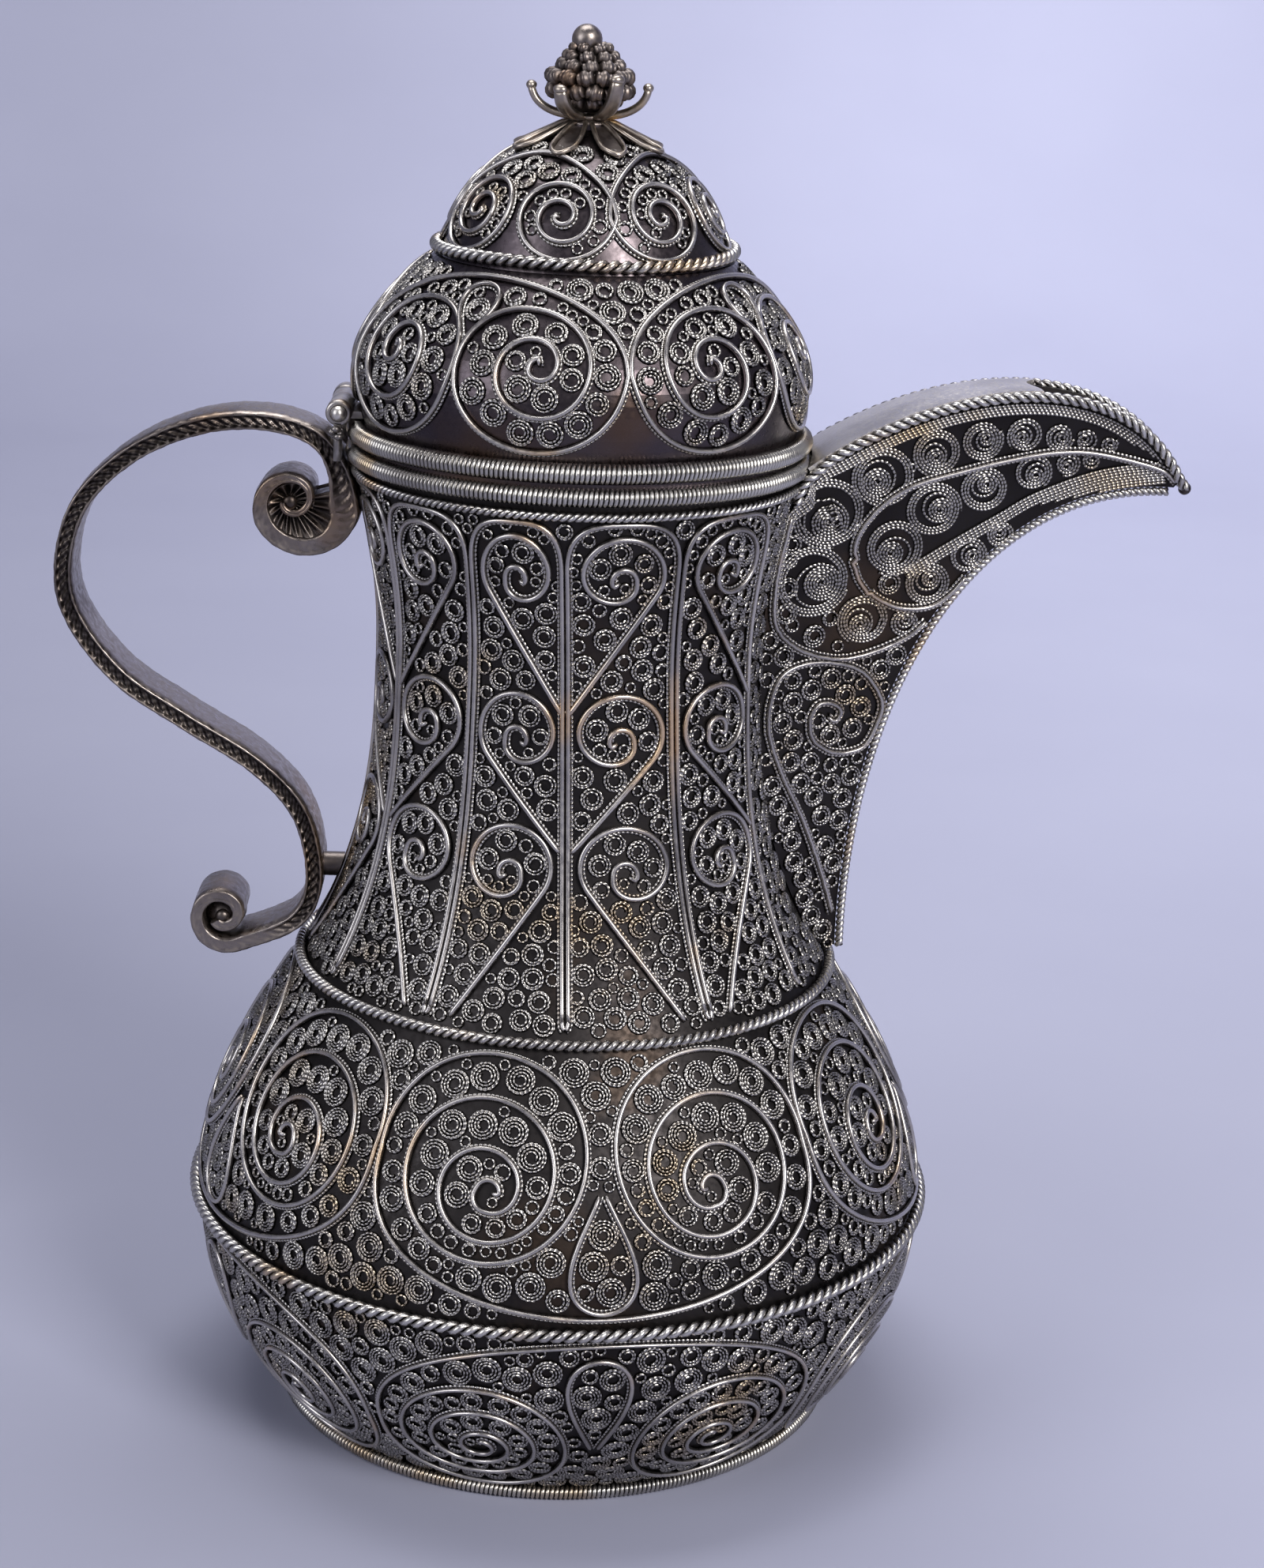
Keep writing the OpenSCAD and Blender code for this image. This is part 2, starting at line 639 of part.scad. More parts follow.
// Flat wire on a side panel along [station, share of the way from keel to edge]
module panel_wire(places, side) {
    foot = [for (p = places) on_panel(p[0], p[1], bend_gap, side)];
    top = [for (p = places) on_panel(p[0], p[1], bend_gap + wire_h, side)];
    skin([for (i = [0 : len(places) - 1]) let (
        across = unit(cross(heading(foot, i), top[i] - foot[i])) * wire_w / 2)
        [foot[i] - across, foot[i] + across, top[i] + across, top[i] - across]]);
}

// Scroll wires on a side panel: [station, share of the way from keel to edge]
PANEL_SCROLL = [[0.941, 0.52], [0.857, 0.51], [0.784, 0.53], [0.715, 0.57], [0.63, 0.61],
    [0.58, 0.64], [0.538, 0.66], [0.492, 0.67], [0.457, 0.64], [0.426, 0.57], [0.419, 0.43],
    [0.43, 0.33], [0.461, 0.21], [0.511, 0.08]];
PANEL_BORDER = [[0.361, 0.94], [0.33, 0.94], [0.315, 0.8], [0.323, 0.62], [0.334, 0.47],
    [0.365, 0.29], [0.423, 0.12]];
PANEL_COMMA = [[0.031, 0.25], [0.104, 0.28], [0.15, 0.68], [0.181, 0.92], [0.231, 0.91],
    [0.269, 0.82], [0.315, 0.62], [0.353, 0.38], [0.373, 0.16], [0.357, 0.05], [0.311, 0.05],
    [0.265, 0.15], [0.238, 0.38], [0.234, 0.57], [0.25, 0.64], [0.277, 0.6], [0.3, 0.48],
    [0.315, 0.36]];

module spout_scrolls() {
    color(bright) for (side = [-1, 1], places = [PANEL_SCROLL, PANEL_BORDER, PANEL_COMMA])
        panel_wire(side > 0 ? places : [for (i = [len(places) - 1 : -1 : 0]) places[i]], side);
}

module spout_tip_bead() {
    d = 2.2;
    color(bright) translate([spout_tip[0] + d / 2 + 2 * seat_gap, 0, spout_tip[1] - d / 2])
        sphere(d = d, $fn = 32);
}

// ---- Handle ----

wires_out = bend_gap + seat_gap + wire_h;
handle_head_z = mouth_z - handle_head_drop;
handle_foot_x = -radius_at(NECK, handle_foot_z) - wires_out - handle_stand - handle_t / 2;
handle_head_x = -radius_at(NECK, handle_head_z) - wires_out - handle_t / 2 - seat_gap;

// A place by the share of the reach outwards and the share of the height upwards
function handle_at(out, up) = [
    handle_foot_x + (handle_head_x - handle_foot_x) * up - out * handle_reach,
    handle_foot_z + (handle_head_z - handle_foot_z) * up];

// The strap's middle line between its scrolls
STRAP = [handle_at(0.053, -0.14), handle_at(0, -0.022), handle_at(0.073, 0.161), handle_at(0.252, 0.296),
    handle_at(0.523, 0.415), handle_at(0.769, 0.531), handle_at(0.947, 0.687), handle_at(1, 0.828),
    handle_at(0.955, 0.993), handle_at(0.787, 1.128), handle_at(0.564, 1.206), handle_at(0.343, 1.224),
    handle_at(0.154, 1.187), handle_at(0.051, 1.099)];

// A scroll that tightens clockwise from a start angle
function scroll(centre, r0, r1, start, turn, steps) = [for (i = [0 : steps]) let (f = i / steps,
    a = start - turn * f, r = r0 + (r1 - r0) * f ^ 0.85) centre + r * [cos(a), sin(a)]];

curl_at = [handle_foot_x - 2.83 * curl_r, handle_foot_z - 9];
volute_at = [handle_head_x - volute_r, handle_head_z + 0.4];
curl = scroll(curl_at, curl_r, 1.9, -60, 430, 16);
volute = scroll(volute_at, volute_r, 1.9, -8, 500, 22);

// Smooth curve through knots
function through(k, i, t) = 0.5 * (2 * k[i] + (k[i + 1] - k[i - 1]) * t
    + (2 * k[i - 1] - 5 * k[i] + 4 * k[i + 1] - k[i + 2]) * t ^ 2
    + (3 * k[i] - k[i - 1] - 3 * k[i + 1] + k[i + 2]) * t ^ 3);

knots = concat([curl[1], curl[0]], STRAP, [volute[0], volute[1]]);
middle = concat(
    [for (i = [len(curl) - 1 : -1 : 1]) curl[i]],
    [for (i = [1 : len(knots) - 3], t = [0 : 0.25 : 0.75]) through(knots, i, t)],
    volute);

// Thickness tapers into both eyes
function strap_half(i, extra) = let (last = len(middle) - 1, near = min(i / 16, (last - i) / 22, 1))
    (handle_t * (0.66 + 0.34 * near)) / 2 + extra;

function strap_side(side, extra) = [for (i = [0 : len(middle) - 1]) let (run = heading(middle, i))
    middle[i] + side * strap_half(i, extra) * [-run[1], run[0]]];

module strap_shape(extra) {
    left = strap_side(1, extra);
    right = strap_side(-1, extra);
    polygon(concat(left, [for (i = [len(right) - 1 : -1 : 0]) right[i]]));
}

// Stands a shape drawn in the XZ plane upright, spread both ways in Y
module across_y(wide) {
    rotate([90, 0, 0]) linear_extrude(wide, center = true) children();
}

channel_rim = 0.6;

module handle() {
    color(silver) union() {
        difference() {
            across_y(handle_w) strap_shape(0);
            for (side = [-1, 1]) translate([0, side * (handle_w / 2), 0])
                across_y(2 * channel_deep) strap_shape(-channel_rim);
        }
        // The fluted shell that fills the upper scroll
        across_y(handle_w - 4) polygon([for (i = [0 : 16]) volute[i]]);
    }
}

module handle_lug() {
    color(dark) difference() {
        translate([handle_foot_x, 0, handle_foot_z]) rotate([0, 90, 0])
            cylinder(d = lug_d, h = handle_stand + handle_t);
        across_y(handle_w) strap_shape(seat_gap);
        sheet_space(NECK, shoulder_z, waist_z, wires_out);
    }
}

// ---- Hinge ----

hinge_x = -(lip_r + coil_d + 0.7);
hinge_z = rim_z + coil_space + coil_d + barrel_d / 2 - 0.3;
knuckle_y = lid_knuckle_l / 2 + knuckle_gap;
leg_inner_x = -(rim_out_r - seat_gap / 2);
leg_t = 1.3;
leg_y = handle_w / 2 + 0.4;

module barrel(y0, y1) {
    translate([hinge_x, y1, hinge_z]) rotate([90, 0, 0]) difference() {
        cylinder(d = barrel_d, h = y1 - y0, $fn = 48);
        translate([0, 0, -1]) cylinder(d = pin_d + 2 * pin_clear, h = y1 - y0 + 2, $fn = 48);
    }
}

// Two knuckles, each on a leg soldered to the outside of the rim coil
module pot_knuckles() {
    end = knuckle_y + pot_knuckle_l;
    color(silver) for (side = [-1, 1]) mirror([0, side < 0 ? 1 : 0, 0]) {
        barrel(knuckle_y, end);
        difference() {
            translate([leg_inner_x - leg_t, leg_y, mouth_z + 0.5])
                cube([leg_t, end - leg_y, hinge_z - mouth_z - 0.5]);
            translate([hinge_x, 0, hinge_z]) rotate([-90, 0, 0])
                cylinder(d = barrel_d - 0.4, h = end + 1, $fn = 48);
        }
    }
}

module hinge_pin() {
    half = knuckle_y + pot_knuckle_l;
    head = pin_d * 0.62;
    head_gap = 0.1;
    color(bright) translate([hinge_x, 0, hinge_z]) rotate([90, 0, 0]) {
        cylinder(d = pin_d, h = 2 * (half + head_gap), center = true, $fn = 48);
        for (side = [-1, 1]) translate([0, 0, side * (half + head_gap)]) intersection() {
            sphere(r = head, $fn = 48);
            translate([0, 0, side * head]) cube([4 * head, 4 * head, 2 * head], center = true);
        }
    }
}

// The middle knuckle, with a leaf that reaches in to the lid's skirt
module lid_knuckle() {
    leaf_t = 1.2;
    color(silver) {
        barrel(-lid_knuckle_l / 2, lid_knuckle_l / 2);
        difference() {
            translate([hinge_x, -lid_knuckle_l / 2 + 0.6, lid_z + coil_d + seat_gap])
                cube([-hinge_x - lid_skirt_r + 3, lid_knuckle_l - 1.2, leaf_t]);
            translate([hinge_x, 0, hinge_z]) rotate([90, 0, 0])
                cylinder(d = barrel_d - 0.4, h = lid_knuckle_l + 2, center = true, $fn = 48);
            sheet_space(LID, lid_z + coil_d, lid_bulge_z, seat_gap);
        }
    }
}

// ---- Lid ----

// The collar's ledge rests on the neck's lip and its skirt hangs inside
module lid_collar() {
    skirt_r = lip_r - sheet_t - collar_gap;
    color(silver) rotate_extrude() polygon([
        [skirt_r - sheet_t, rim_z - collar_deep], [skirt_r, rim_z - collar_deep], [skirt_r, rim_z],
        [lip_r + 0.5, rim_z], [lip_r + 0.5, rim_z + ledge_t], [skirt_r - sheet_t, rim_z + ledge_t]]);
}

module lid_lower_dome() {
    color(silver) spun_sheet(LID, lid_z + coil_d, lid_seam_z, sheet_t,
        foot = [[lid_skirt_r - sheet_t, rim_z + ledge_t], [lid_skirt_r, rim_z + ledge_t]]);
}

module lid_coil() {
    color(bright) ring(lid_skirt_r + seat_gap + coil_d / 2, lid_coil_z, coil_d);
}

module lid_rope() {
    p = on_surface(CAP, 0, lid_seam_z + lid_rope_d / 2 + seat_gap, lid_rope_d / 2 + seat_gap);
    color(bright) ring(p[0], p[2], lid_rope_d);
}

crown_t = 0.8;

module lid_upper_dome() {
    color(silver) difference() {
        spun_sheet(CAP, lid_seam_z, cap_top_z, sheet_t,
            top = [[cap_top_r, cap_top_z + crown_t], [0, cap_top_z + crown_t], [0, cap_top_z]]);
        translate([0, 0, cap_top_z - 4]) cylinder(d = stem_d + 2 * seat_gap, h = 8);
    }
}

scroll_a = 360 / lid_scrolls;
lid_front = front + 12;
lid_scroll_r = 13.6;
lid_scroll_z = lid_bulge_z + 6;
cap_scroll_r = 7.2;
cap_scroll_z = lid_seam_z + 9;

module lid_lower_scrolls() {
    color(bright) for (k = [0 : lid_scrolls - 1])
        flat_wire(LID, lay(LID, lid_front + (k + 0.5) * scroll_a, lid_scroll_z,
            mirrored(winding(lid_scroll_r, 2, 2.2, 20), k % 2 == 0 ? 1 : -1)));
}

module lid_upper_scrolls() {
    color(bright) for (k = [0 : lid_scrolls - 1])
        flat_wire(CAP, lay(CAP, lid_front + (k + 0.5) * scroll_a, cap_scroll_z,
            mirrored(winding(cap_scroll_r, 1.5, 2, 14), k % 2 == 0 ? 1 : -1)));
}

// ---- Finial ----

crown_z = cap_top_z + crown_t;
hub_r = 3.4;
calyx_z = crown_z + petal_t;
cluster_z = calyx_z + petal_t + seat_gap;
petal_tilt = 16;

module hub_hole() {
    translate([0, 0, crown_z - 5]) cylinder(d = stem_d + 2 * seat_gap, h = 20);
}

// Spoon-shaped petal in plan, with a raised rim; drop draws its pocket
module petal_plan(drop) {
    long = flower_r - 1;
    polygon([for (i = [0 : 24]) let (a = 360 * i / 24, w = 2.9 * (0.62 + 0.38 * -cos(a)))
        [1 + long * (1 - cos(a)) / 2 + drop * cos(a), (w - drop) * sin(a)]]);
}

module finial_flower() {
    rim = 0.7;
    color(silver) difference() {
        union() {
            translate([0, 0, crown_z]) cylinder(r = hub_r, h = petal_t);
            for (k = [0 : flower_petals - 1]) rotate([0, 0, front + 360 / flower_petals * (k + 0.5)])
                translate([1, 0, crown_z + (hub_r - 1) * tan(petal_tilt)]) rotate([0, petal_tilt, 0])
                    difference() {
                        linear_extrude(petal_t) petal_plan(0);
                        translate([0, 0, petal_t * 0.5]) linear_extrude(petal_t) petal_plan(rim);
                    }
        }
        hub_hole();
        translate([0, 0, calyx_z]) cylinder(r = hub_r + 1, h = 5);
        translate([0, 0, crown_z - 5]) cylinder(r = cap_top_r, h = 5);
    }
}

// Side view of a calyx petal: out along the hub, then up to its curled tip
module calyx_side() {
    rise = calyx_r * 0.52;
    line = [for (i = [0 : 10]) let (f = i / 10)
        [1 + (calyx_r - 1) * sin(90 * f), calyx_z + petal_t / 2 + rise * f ^ 2.4]];
    polygon(concat([for (p = line) p + [0.25, -petal_t / 2]],
        [for (i = [len(line) - 1 : -1 : 0]) line[i] + [-0.25, petal_t / 2]]));
}

module finial_calyx() {
    color(silver) difference() {
        union() {
            translate([0, 0, calyx_z]) cylinder(r = hub_r, h = petal_t);
            for (k = [0 : calyx_petals - 1]) rotate([0, 0, front + 360 / calyx_petals * (k + 0.5)])
                intersection() {
                    across_y(12) calyx_side();
                    translate([0, 0, calyx_z - 1]) linear_extrude(calyx_r)
                        polygon([[1, -1.2], [calyx_r * 0.7, -2.7], [calyx_r + 1, -1.6],
                            [calyx_r + 1, 1.6], [calyx_r * 0.7, 2.7], [1, 1.2]]);
                }
        }
        hub_hole();
    }
}

bead_rows = [[0, 5.9, 9, 1], [0.86, 5.9, 9, 1], [1.6, 3.9, 6, 0.94]];
bead_z = cluster_z + 3.6;
ball_seat_z = bead_z + 1.6 * bead_d + 0.5;

module finial_beads() {
    color(dark) difference() {
        union() {
            translate([0, 0, cluster_z]) cylinder(r = 2.6, h = bead_z - cluster_z);
            translate([0, 0, bead_z - 1]) cylinder(r = 4.9, h = bead_d * 0.86 + 1.4);
            translate([0, 0, bead_z]) cylinder(r = 3, h = ball_seat_z - bead_z);
            for (row = bead_rows, k = [0 : row[2] - 1])
                rotate([0, 0, 360 / row[2] * (k + row[0] / 2)])
                    translate([row[1], 0, bead_z + row[0] * bead_d]) sphere(d = bead_d * row[3], $fn = 32);
        }
        hub_hole();
    }
}

module finial_stem() {
    color(dark) translate([0, 0, cap_top_z - 3]) cylinder(d = stem_d, h = ball_seat_z - cap_top_z + 3);
}

module finial_ball() {
    color(silver) translate([0, 0, ball_seat_z + ball_d / 2 + seat_gap / 2]) sphere(d = ball_d, $fn = 48);
}

base_plate();
foot_coil();
lower_belly();
belly_rope();
upper_belly();
shoulder_rope();
neck();
neck_rope();
rim_coil();
neck_ribs();
neck_scrolls();
belly_medallions();
belly_drops();
lower_cartouches();
neck_rosettes();
lower_rosettes();
spout_body();
spout_top_plate();
spout_edge_ropes();
spout_keel_rope();
spout_scrolls();
spout_tip_bead();
handle();
handle_lug();
pot_knuckles();
hinge_pin();
lid_knuckle();
lid_collar();
lid_lower_dome();
lid_coil();
lid_rope();
lid_upper_dome();
lid_lower_scrolls();
lid_upper_scrolls();
finial_flower();
finial_calyx();
finial_stem();
finial_beads();
finial_ball();
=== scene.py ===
# %% [markdown]
# # A dallah coffee pot in filigree wire
#
# The pot is a spun sheet shell. Flat silver wire is bent into scrolls and soldered
# on edge to the sheet, and every gap between the scrolls is filled with small
# rosettes of twisted wire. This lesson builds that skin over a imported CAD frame,
# one kind of wire at a time. All lengths are in millimetres until a mesh is made.

# %% Load the frame
import math

import bpy
import numpy as np
from mathutils import Matrix, Vector


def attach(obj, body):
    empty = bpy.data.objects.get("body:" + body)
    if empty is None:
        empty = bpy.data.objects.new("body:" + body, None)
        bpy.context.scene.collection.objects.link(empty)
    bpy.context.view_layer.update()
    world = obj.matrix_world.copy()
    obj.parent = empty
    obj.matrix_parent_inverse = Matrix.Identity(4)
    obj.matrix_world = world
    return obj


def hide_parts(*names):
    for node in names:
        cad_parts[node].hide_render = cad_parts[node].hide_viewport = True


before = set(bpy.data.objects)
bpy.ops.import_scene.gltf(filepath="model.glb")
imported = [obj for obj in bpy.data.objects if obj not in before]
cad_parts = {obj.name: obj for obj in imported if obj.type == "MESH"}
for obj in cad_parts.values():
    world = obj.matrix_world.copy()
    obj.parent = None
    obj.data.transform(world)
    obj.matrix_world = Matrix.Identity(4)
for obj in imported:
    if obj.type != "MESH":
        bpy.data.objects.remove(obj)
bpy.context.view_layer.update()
MM = 0.001
scene = bpy.context.scene

# %% [markdown]
# ## The outline
#
# A spinner checks his work against a template: a curve through a few stations.
# Here each station is a height, a radius and a slope, and a cubic joins them. The
# same stations shape the CAD sheet, so wire laid on this curve lies on the metal.

# %% Outline of the sheet
FRONT = -90.0
BELLY = [(1.0, 48.4, 1.05), (40.5, 66.4, 0.0), (84.5, 47.6, -0.74)]
NECK = [(84.5, 47.6, -0.62), (145.0, 34.2, 0.0), (175.8, 38.7, 0.2)]
LID = [(182.82, 37.75, 0.3), (191.52, 39.1, 0.0), (211.62, 25.9, -1.05)]
CAP = [(211.62, 25.0, -0.4), (233.22, 4.2, -2.4)]


def hermite(at, values, slopes, x):
    """A cubic between each pair of knots, with t = (x - at) / h:
    (1 + 2t)(1 - t)^2 a + t (1 - t)^2 h a' + t^2 (3 - 2t) b + t^2 (t - 1) h b'."""
    k = np.clip(np.searchsorted(at, x, side="right") - 1, 0, len(at) - 2)
    h = at[k + 1] - at[k]
    t = (x - at[k]) / h
    return ((1 + 2 * t) * (1 - t) ** 2 * values[k] + t * (1 - t) ** 2 * h * slopes[k]
            + t * t * (3 - 2 * t) * values[k + 1] + t * t * (t - 1) * h * slopes[k + 1])


def radius(line, z):
    """Radius of an outline at height z, through its stations (z, r, slope)."""
    return hermite(*np.array(line).T, np.asarray(z, float))


def slope(line, z):
    """Change of radius for one unit of height, from two places close together."""
    return (radius(line, np.asarray(z) + 0.05) - radius(line, np.asarray(z) - 0.05)) / 0.1


def unit(v):
    """Each vector divided by its length."""
    return v / np.maximum(np.linalg.norm(v, axis=-1, keepdims=True), 1e-12)


def on_sheet(line, a, z, off=0.0):
    """Points at angle a and height z, moved off along the normal, and the normals.

    point = (r cos a, r sin a, z) + off * normal; normal = (cos a, sin a, -slope), made unit length."""
    turn = np.radians(a)
    normal = unit(np.stack([np.cos(turn), np.sin(turn), -slope(line, z) * np.ones_like(turn)], -1))
    r = radius(line, z)
    point = np.stack([r * np.cos(turn), r * np.sin(turn), z * np.ones_like(turn)], -1)
    return point + np.asarray(off)[..., None] * normal, normal


def lay(line, a0, z0, shape):
    """A flat drawing [across, up] laid on the sheet round a centre: up is divided by the lean
    of the outline, across by the radius at that height. Gives angle and height."""
    lean = math.sqrt(1 + float(slope(line, z0)) ** 2)
    z = z0 + shape[:, 1] / lean
    return a0 + np.degrees(shape[:, 0] / radius(line, z)), z


print("belly radius at 40.5 mm:", float(radius(BELLY, 40.5)))

# %% [markdown]
# ## Sweeping a section
#
# Every wire on the pot is a section carried along a path. The section's first
# number is across the path and its second is away from the sheet. Arrays hold the
# whole wire at once. The UV map runs along the wire in millimetres and once round
# its section, so that a material can wind a twist round any wire at its true pitch.


# %% Sweep and mesh helpers
def around(a, b, turn):
    """Directions that turn from a towards b: a cos(turn) + b sin(turn)."""
    return a * np.cos(turn)[:, None] + b * np.sin(turn)[:, None]


def corner_uvs(us, vs):
    """UVs of four-cornered faces, from four arrays of u and four of v."""
    return np.stack([np.stack(us, -1), np.stack(vs, -1)], -1).reshape(-1, 2)


def sweep(path, up, section, closed=False, scale=None):
    """Carries section (k, 2) along path (n, 3): vertex = p + side * x + up * y, with
    side = tangent x up. up is one vector or one for each point; scale (n,) shrinks the section.
    Gives vertices, quads, UVs and end caps."""
    n, k = len(path), len(section)
    tangent = unit(np.roll(path, -1, 0) - np.roll(path, 1, 0) if closed else np.gradient(path, axis=0))
    side = unit(np.cross(tangent, up))
    up = np.cross(side, tangent)
    corners = section[None] * (np.ones(n) if scale is None else scale)[:, None, None]
    verts = (path[:, None] + side[:, None] * corners[..., :1] + up[:, None] * corners[..., 1:]).reshape(-1, 3)
    i, j = np.indices((n if closed else n - 1, k))
    i2, j2 = (i + 1) % n, (j + 1) % k
    quads = np.stack([i * k + j, i * k + j2, i2 * k + j2, i2 * k + j], -1).reshape(-1, 4)
    run = run_length(np.concatenate([path, path[:1]]))
    u0, u1 = run[i], run[i + 1]
    v0, v1 = (j + 0.5) / k, (j + 1.5) / k
    uv = corner_uvs([u0, u0, u1, u1], [v0, v1, v1, v0])
    caps = [] if closed else [list(range(k))[::-1], [(n - 1) * k + q for q in range(k)]]
    return verts, quads, uv, caps


def piece(name, parts, body, slot, material, *replaces):
    """One object from many swept parts, in metres, riding on a body."""
    verts, faces, uvs, base = [], [], [], 0
    for v, q, uv, caps in parts:
        verts.append(v)
        faces += (q + base).tolist() + [[c + base for c in cap] for cap in caps]
        uvs += [uv] + [np.zeros((len(cap), 2)) for cap in caps]
        base += len(v)
    mesh = bpy.data.meshes.new(name)
    mesh.from_pydata((np.concatenate(verts) * MM).tolist(), [], faces)
    layer = mesh.uv_layers.new(name="wire")
    layer.data.foreach_set("uv", np.concatenate(uvs).astype(np.float32).ravel())
    mesh.polygons.foreach_set("use_smooth", [True] * len(faces))
    mesh.update()
    obj = bpy.data.objects.new(name, mesh)
    scene.collection.objects.link(obj)
    obj.data.materials.append(material)
    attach(obj, body)
    if replaces:
        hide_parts(*replaces)
    triangles = sum(len(f) - 2 for f in faces)
    print(f"{name}: {len(verts)} parts, {triangles} triangles")
    return obj


def circle_section(d, k):
    """The k corners of a round section of diameter d."""
    turn = 2 * np.pi * (np.arange(k) + 0.5) / k
    return np.stack([np.sin(turn) * d / 2, -np.cos(turn) * d / 2], -1)


def run_length(path):
    """Distance from the start of a path to each of its points."""
    return np.concatenate([[0], np.cumsum(np.linalg.norm(np.diff(path, axis=0), axis=1))])


def read_at(path, at, run):
    """A path's places at the distances at, where run holds the distance of each of its points."""
    return np.stack([np.interp(at, run, column) for column in path.T], -1)


def grid(points, closed_u=False, closed_v=False, flip=False):
    """Quads over a grid of points (n, m, 3), with UVs in millimetres along its middle row and
    column. closed_u and closed_v join it round; flip turns its faces over."""
    n, m = points.shape[:2]
    i, j = np.indices((n if closed_u else n - 1, m if closed_v else m - 1))
    i2, j2 = (i + 1) % n, (j + 1) % m
    quads = np.stack([i * m + j, i2 * m + j, i2 * m + j2, i * m + j2], -1).reshape(-1, 4)
    ru, rv = run_length(points[:, m // 2]), run_length(points[n // 2])
    ru, rv = np.append(ru, ru[-1] + 1), np.append(rv, rv[-1] + 1)
    u0, u1, v0, v1 = ru[i], ru[i + 1], rv[j], rv[j + 1]
    uv = corner_uvs([u0, u1, u1, u0], [v0, v0, v1, v1])
    if flip:
        quads, uv = quads[:, ::-1], uv.reshape(-1, 4, 2)[:, ::-1].reshape(-1, 2)
    return points.reshape(-1, 3), quads, uv, []


def closed_tube(rings, flip=False):
    """A grid of rings (n, m, 3), joined round, with a flat cap at each end."""
    v, q, uv, _ = grid(rings, closed_v=True, flip=flip)
    m = rings.shape[1]
    return v, q, uv, [list(range(m)), [len(v) - m + k for k in range(m)][::-1]]


def closed_fans(rings, first, last, flip=False):
    """A grid of rings, joined round, whose ends are fans of triangles to the points first and last."""
    v, q, uv, _ = grid(rings, closed_v=True, flip=flip)
    n, m = rings.shape[:2]
    ends = [(0, len(v), flip), ((n - 1) * m, len(v) + 1, not flip)]
    fans = [[base + (k + back) % m, base + (k + 1 - back) % m, tip]
            for base, tip, back in ends for k in range(m)]
    return np.concatenate([v, [first, last]]), q, uv, fans


def slab(top, low):
    """A closed plate: two grids of one size, joined round the edge."""
    v, q, uv, _ = grid(np.concatenate([top, low[:, ::-1]], 1), closed_v=True)
    m, k = 2 * top.shape[1], top.shape[1]
    first = [[j, j + 1, m - 2 - j, m - 1 - j] for j in range(k - 1)]
    return v, q, uv, first + [[len(v) - m + j for j in face[::-1]] for face in first]


def ball(middle, r, rings=14, turns=20, squash=(1, 1, 1)):
    """A sphere's grid, ring j at the polar angle pi j / rings, stretched by squash."""
    polar = np.linspace(0.0, np.pi, rings + 1)[1:-1]
    turn = np.linspace(0, 2 * np.pi, turns, endpoint=False)
    level, height = np.sin(polar)[:, None], np.cos(polar)[:, None]
    p = np.stack([level * np.cos(turn), level * np.sin(turn), height + 0 * turn], -1) * r * squash
    pole = np.array([0, 0, r * squash[2]])
    return closed_fans(p + middle, pole + middle, -pole + middle)


print("helpers ready")
# %% [markdown]
# ## Finishes
#
# Old silver is never one colour. Handled edges are bright, hollows hold a brown-black
# tarnish, and here and there the metal turns warm, as if gilt. One node group,
# "tarnish", reads the object's own coordinates and gives masks of cloudy dark patches,
# warm patches and a fine grain, so that every finish on the pot ages in the same places.
# It is built once and reused.


# %% Node helpers
def new_group(name, inputs, *outputs):
    """A shader node group with float inputs {name: default}, or vectors where the default is None."""
    group = bpy.data.node_groups.new(name, "ShaderNodeTree")
    for label, value in inputs.items():
        kind = "NodeSocketVector" if value is None else "NodeSocketFloat"
        socket = group.interface.new_socket(name=label, in_out="INPUT", socket_type=kind)
        if value is not None:
            socket.default_value = value
    for label in outputs:
        group.interface.new_socket(name=label, in_out="OUTPUT", socket_type="NodeSocketFloat")
    return group, group.nodes.new("NodeGroupInput"), group.nodes.new("NodeGroupOutput")


def node(tree, kind, links=None, **settings):
    """Adds a node, sets its properties or socket values, and links sockets into it."""
    made = tree.nodes.new(kind)
    for key, value in settings.items():
        if hasattr(made, key):
            setattr(made, key, value)
        else:
            made.inputs[key].default_value = value
    for key, source in (links or {}).items():
        tree.links.new(source, made.inputs[key])
    return made


def scaled(tree, source, low=0.0, high=1.0, to=(0.0, 1.0), ease="SMOOTHSTEP"):
    """A mask mapped from low..high to the two ends in to."""
    made = node(tree, "ShaderNodeMapRange", {"Value": source}, interpolation_type=ease)
    for label, value in zip(("From Min", "From Max", "To Min", "To Max"), (low, high, *to)):
        made.inputs[label].default_value = value
    return made.outputs["Result"]


def maths(tree, operation, *values):
    """A maths node, whose values are sockets or numbers."""
    made = node(tree, "ShaderNodeMath", operation=operation)
    for socket, value in zip(made.inputs, values):
        if isinstance(value, float):
            socket.default_value = value
        else:
            tree.links.new(value, socket)
    return made.outputs[0]


def mixed(tree, factor, a, b):
    """A mix of two colours, each a socket or a colour."""
    made = node(tree, "ShaderNodeMix", {"Factor": factor}, data_type="RGBA")
    for label, value in (("A", a), ("B", b)):
        if isinstance(value, tuple):
            made.inputs[label].default_value = (*value, 1)
        else:
            tree.links.new(value, made.inputs[label])
    return made.outputs["Result"]


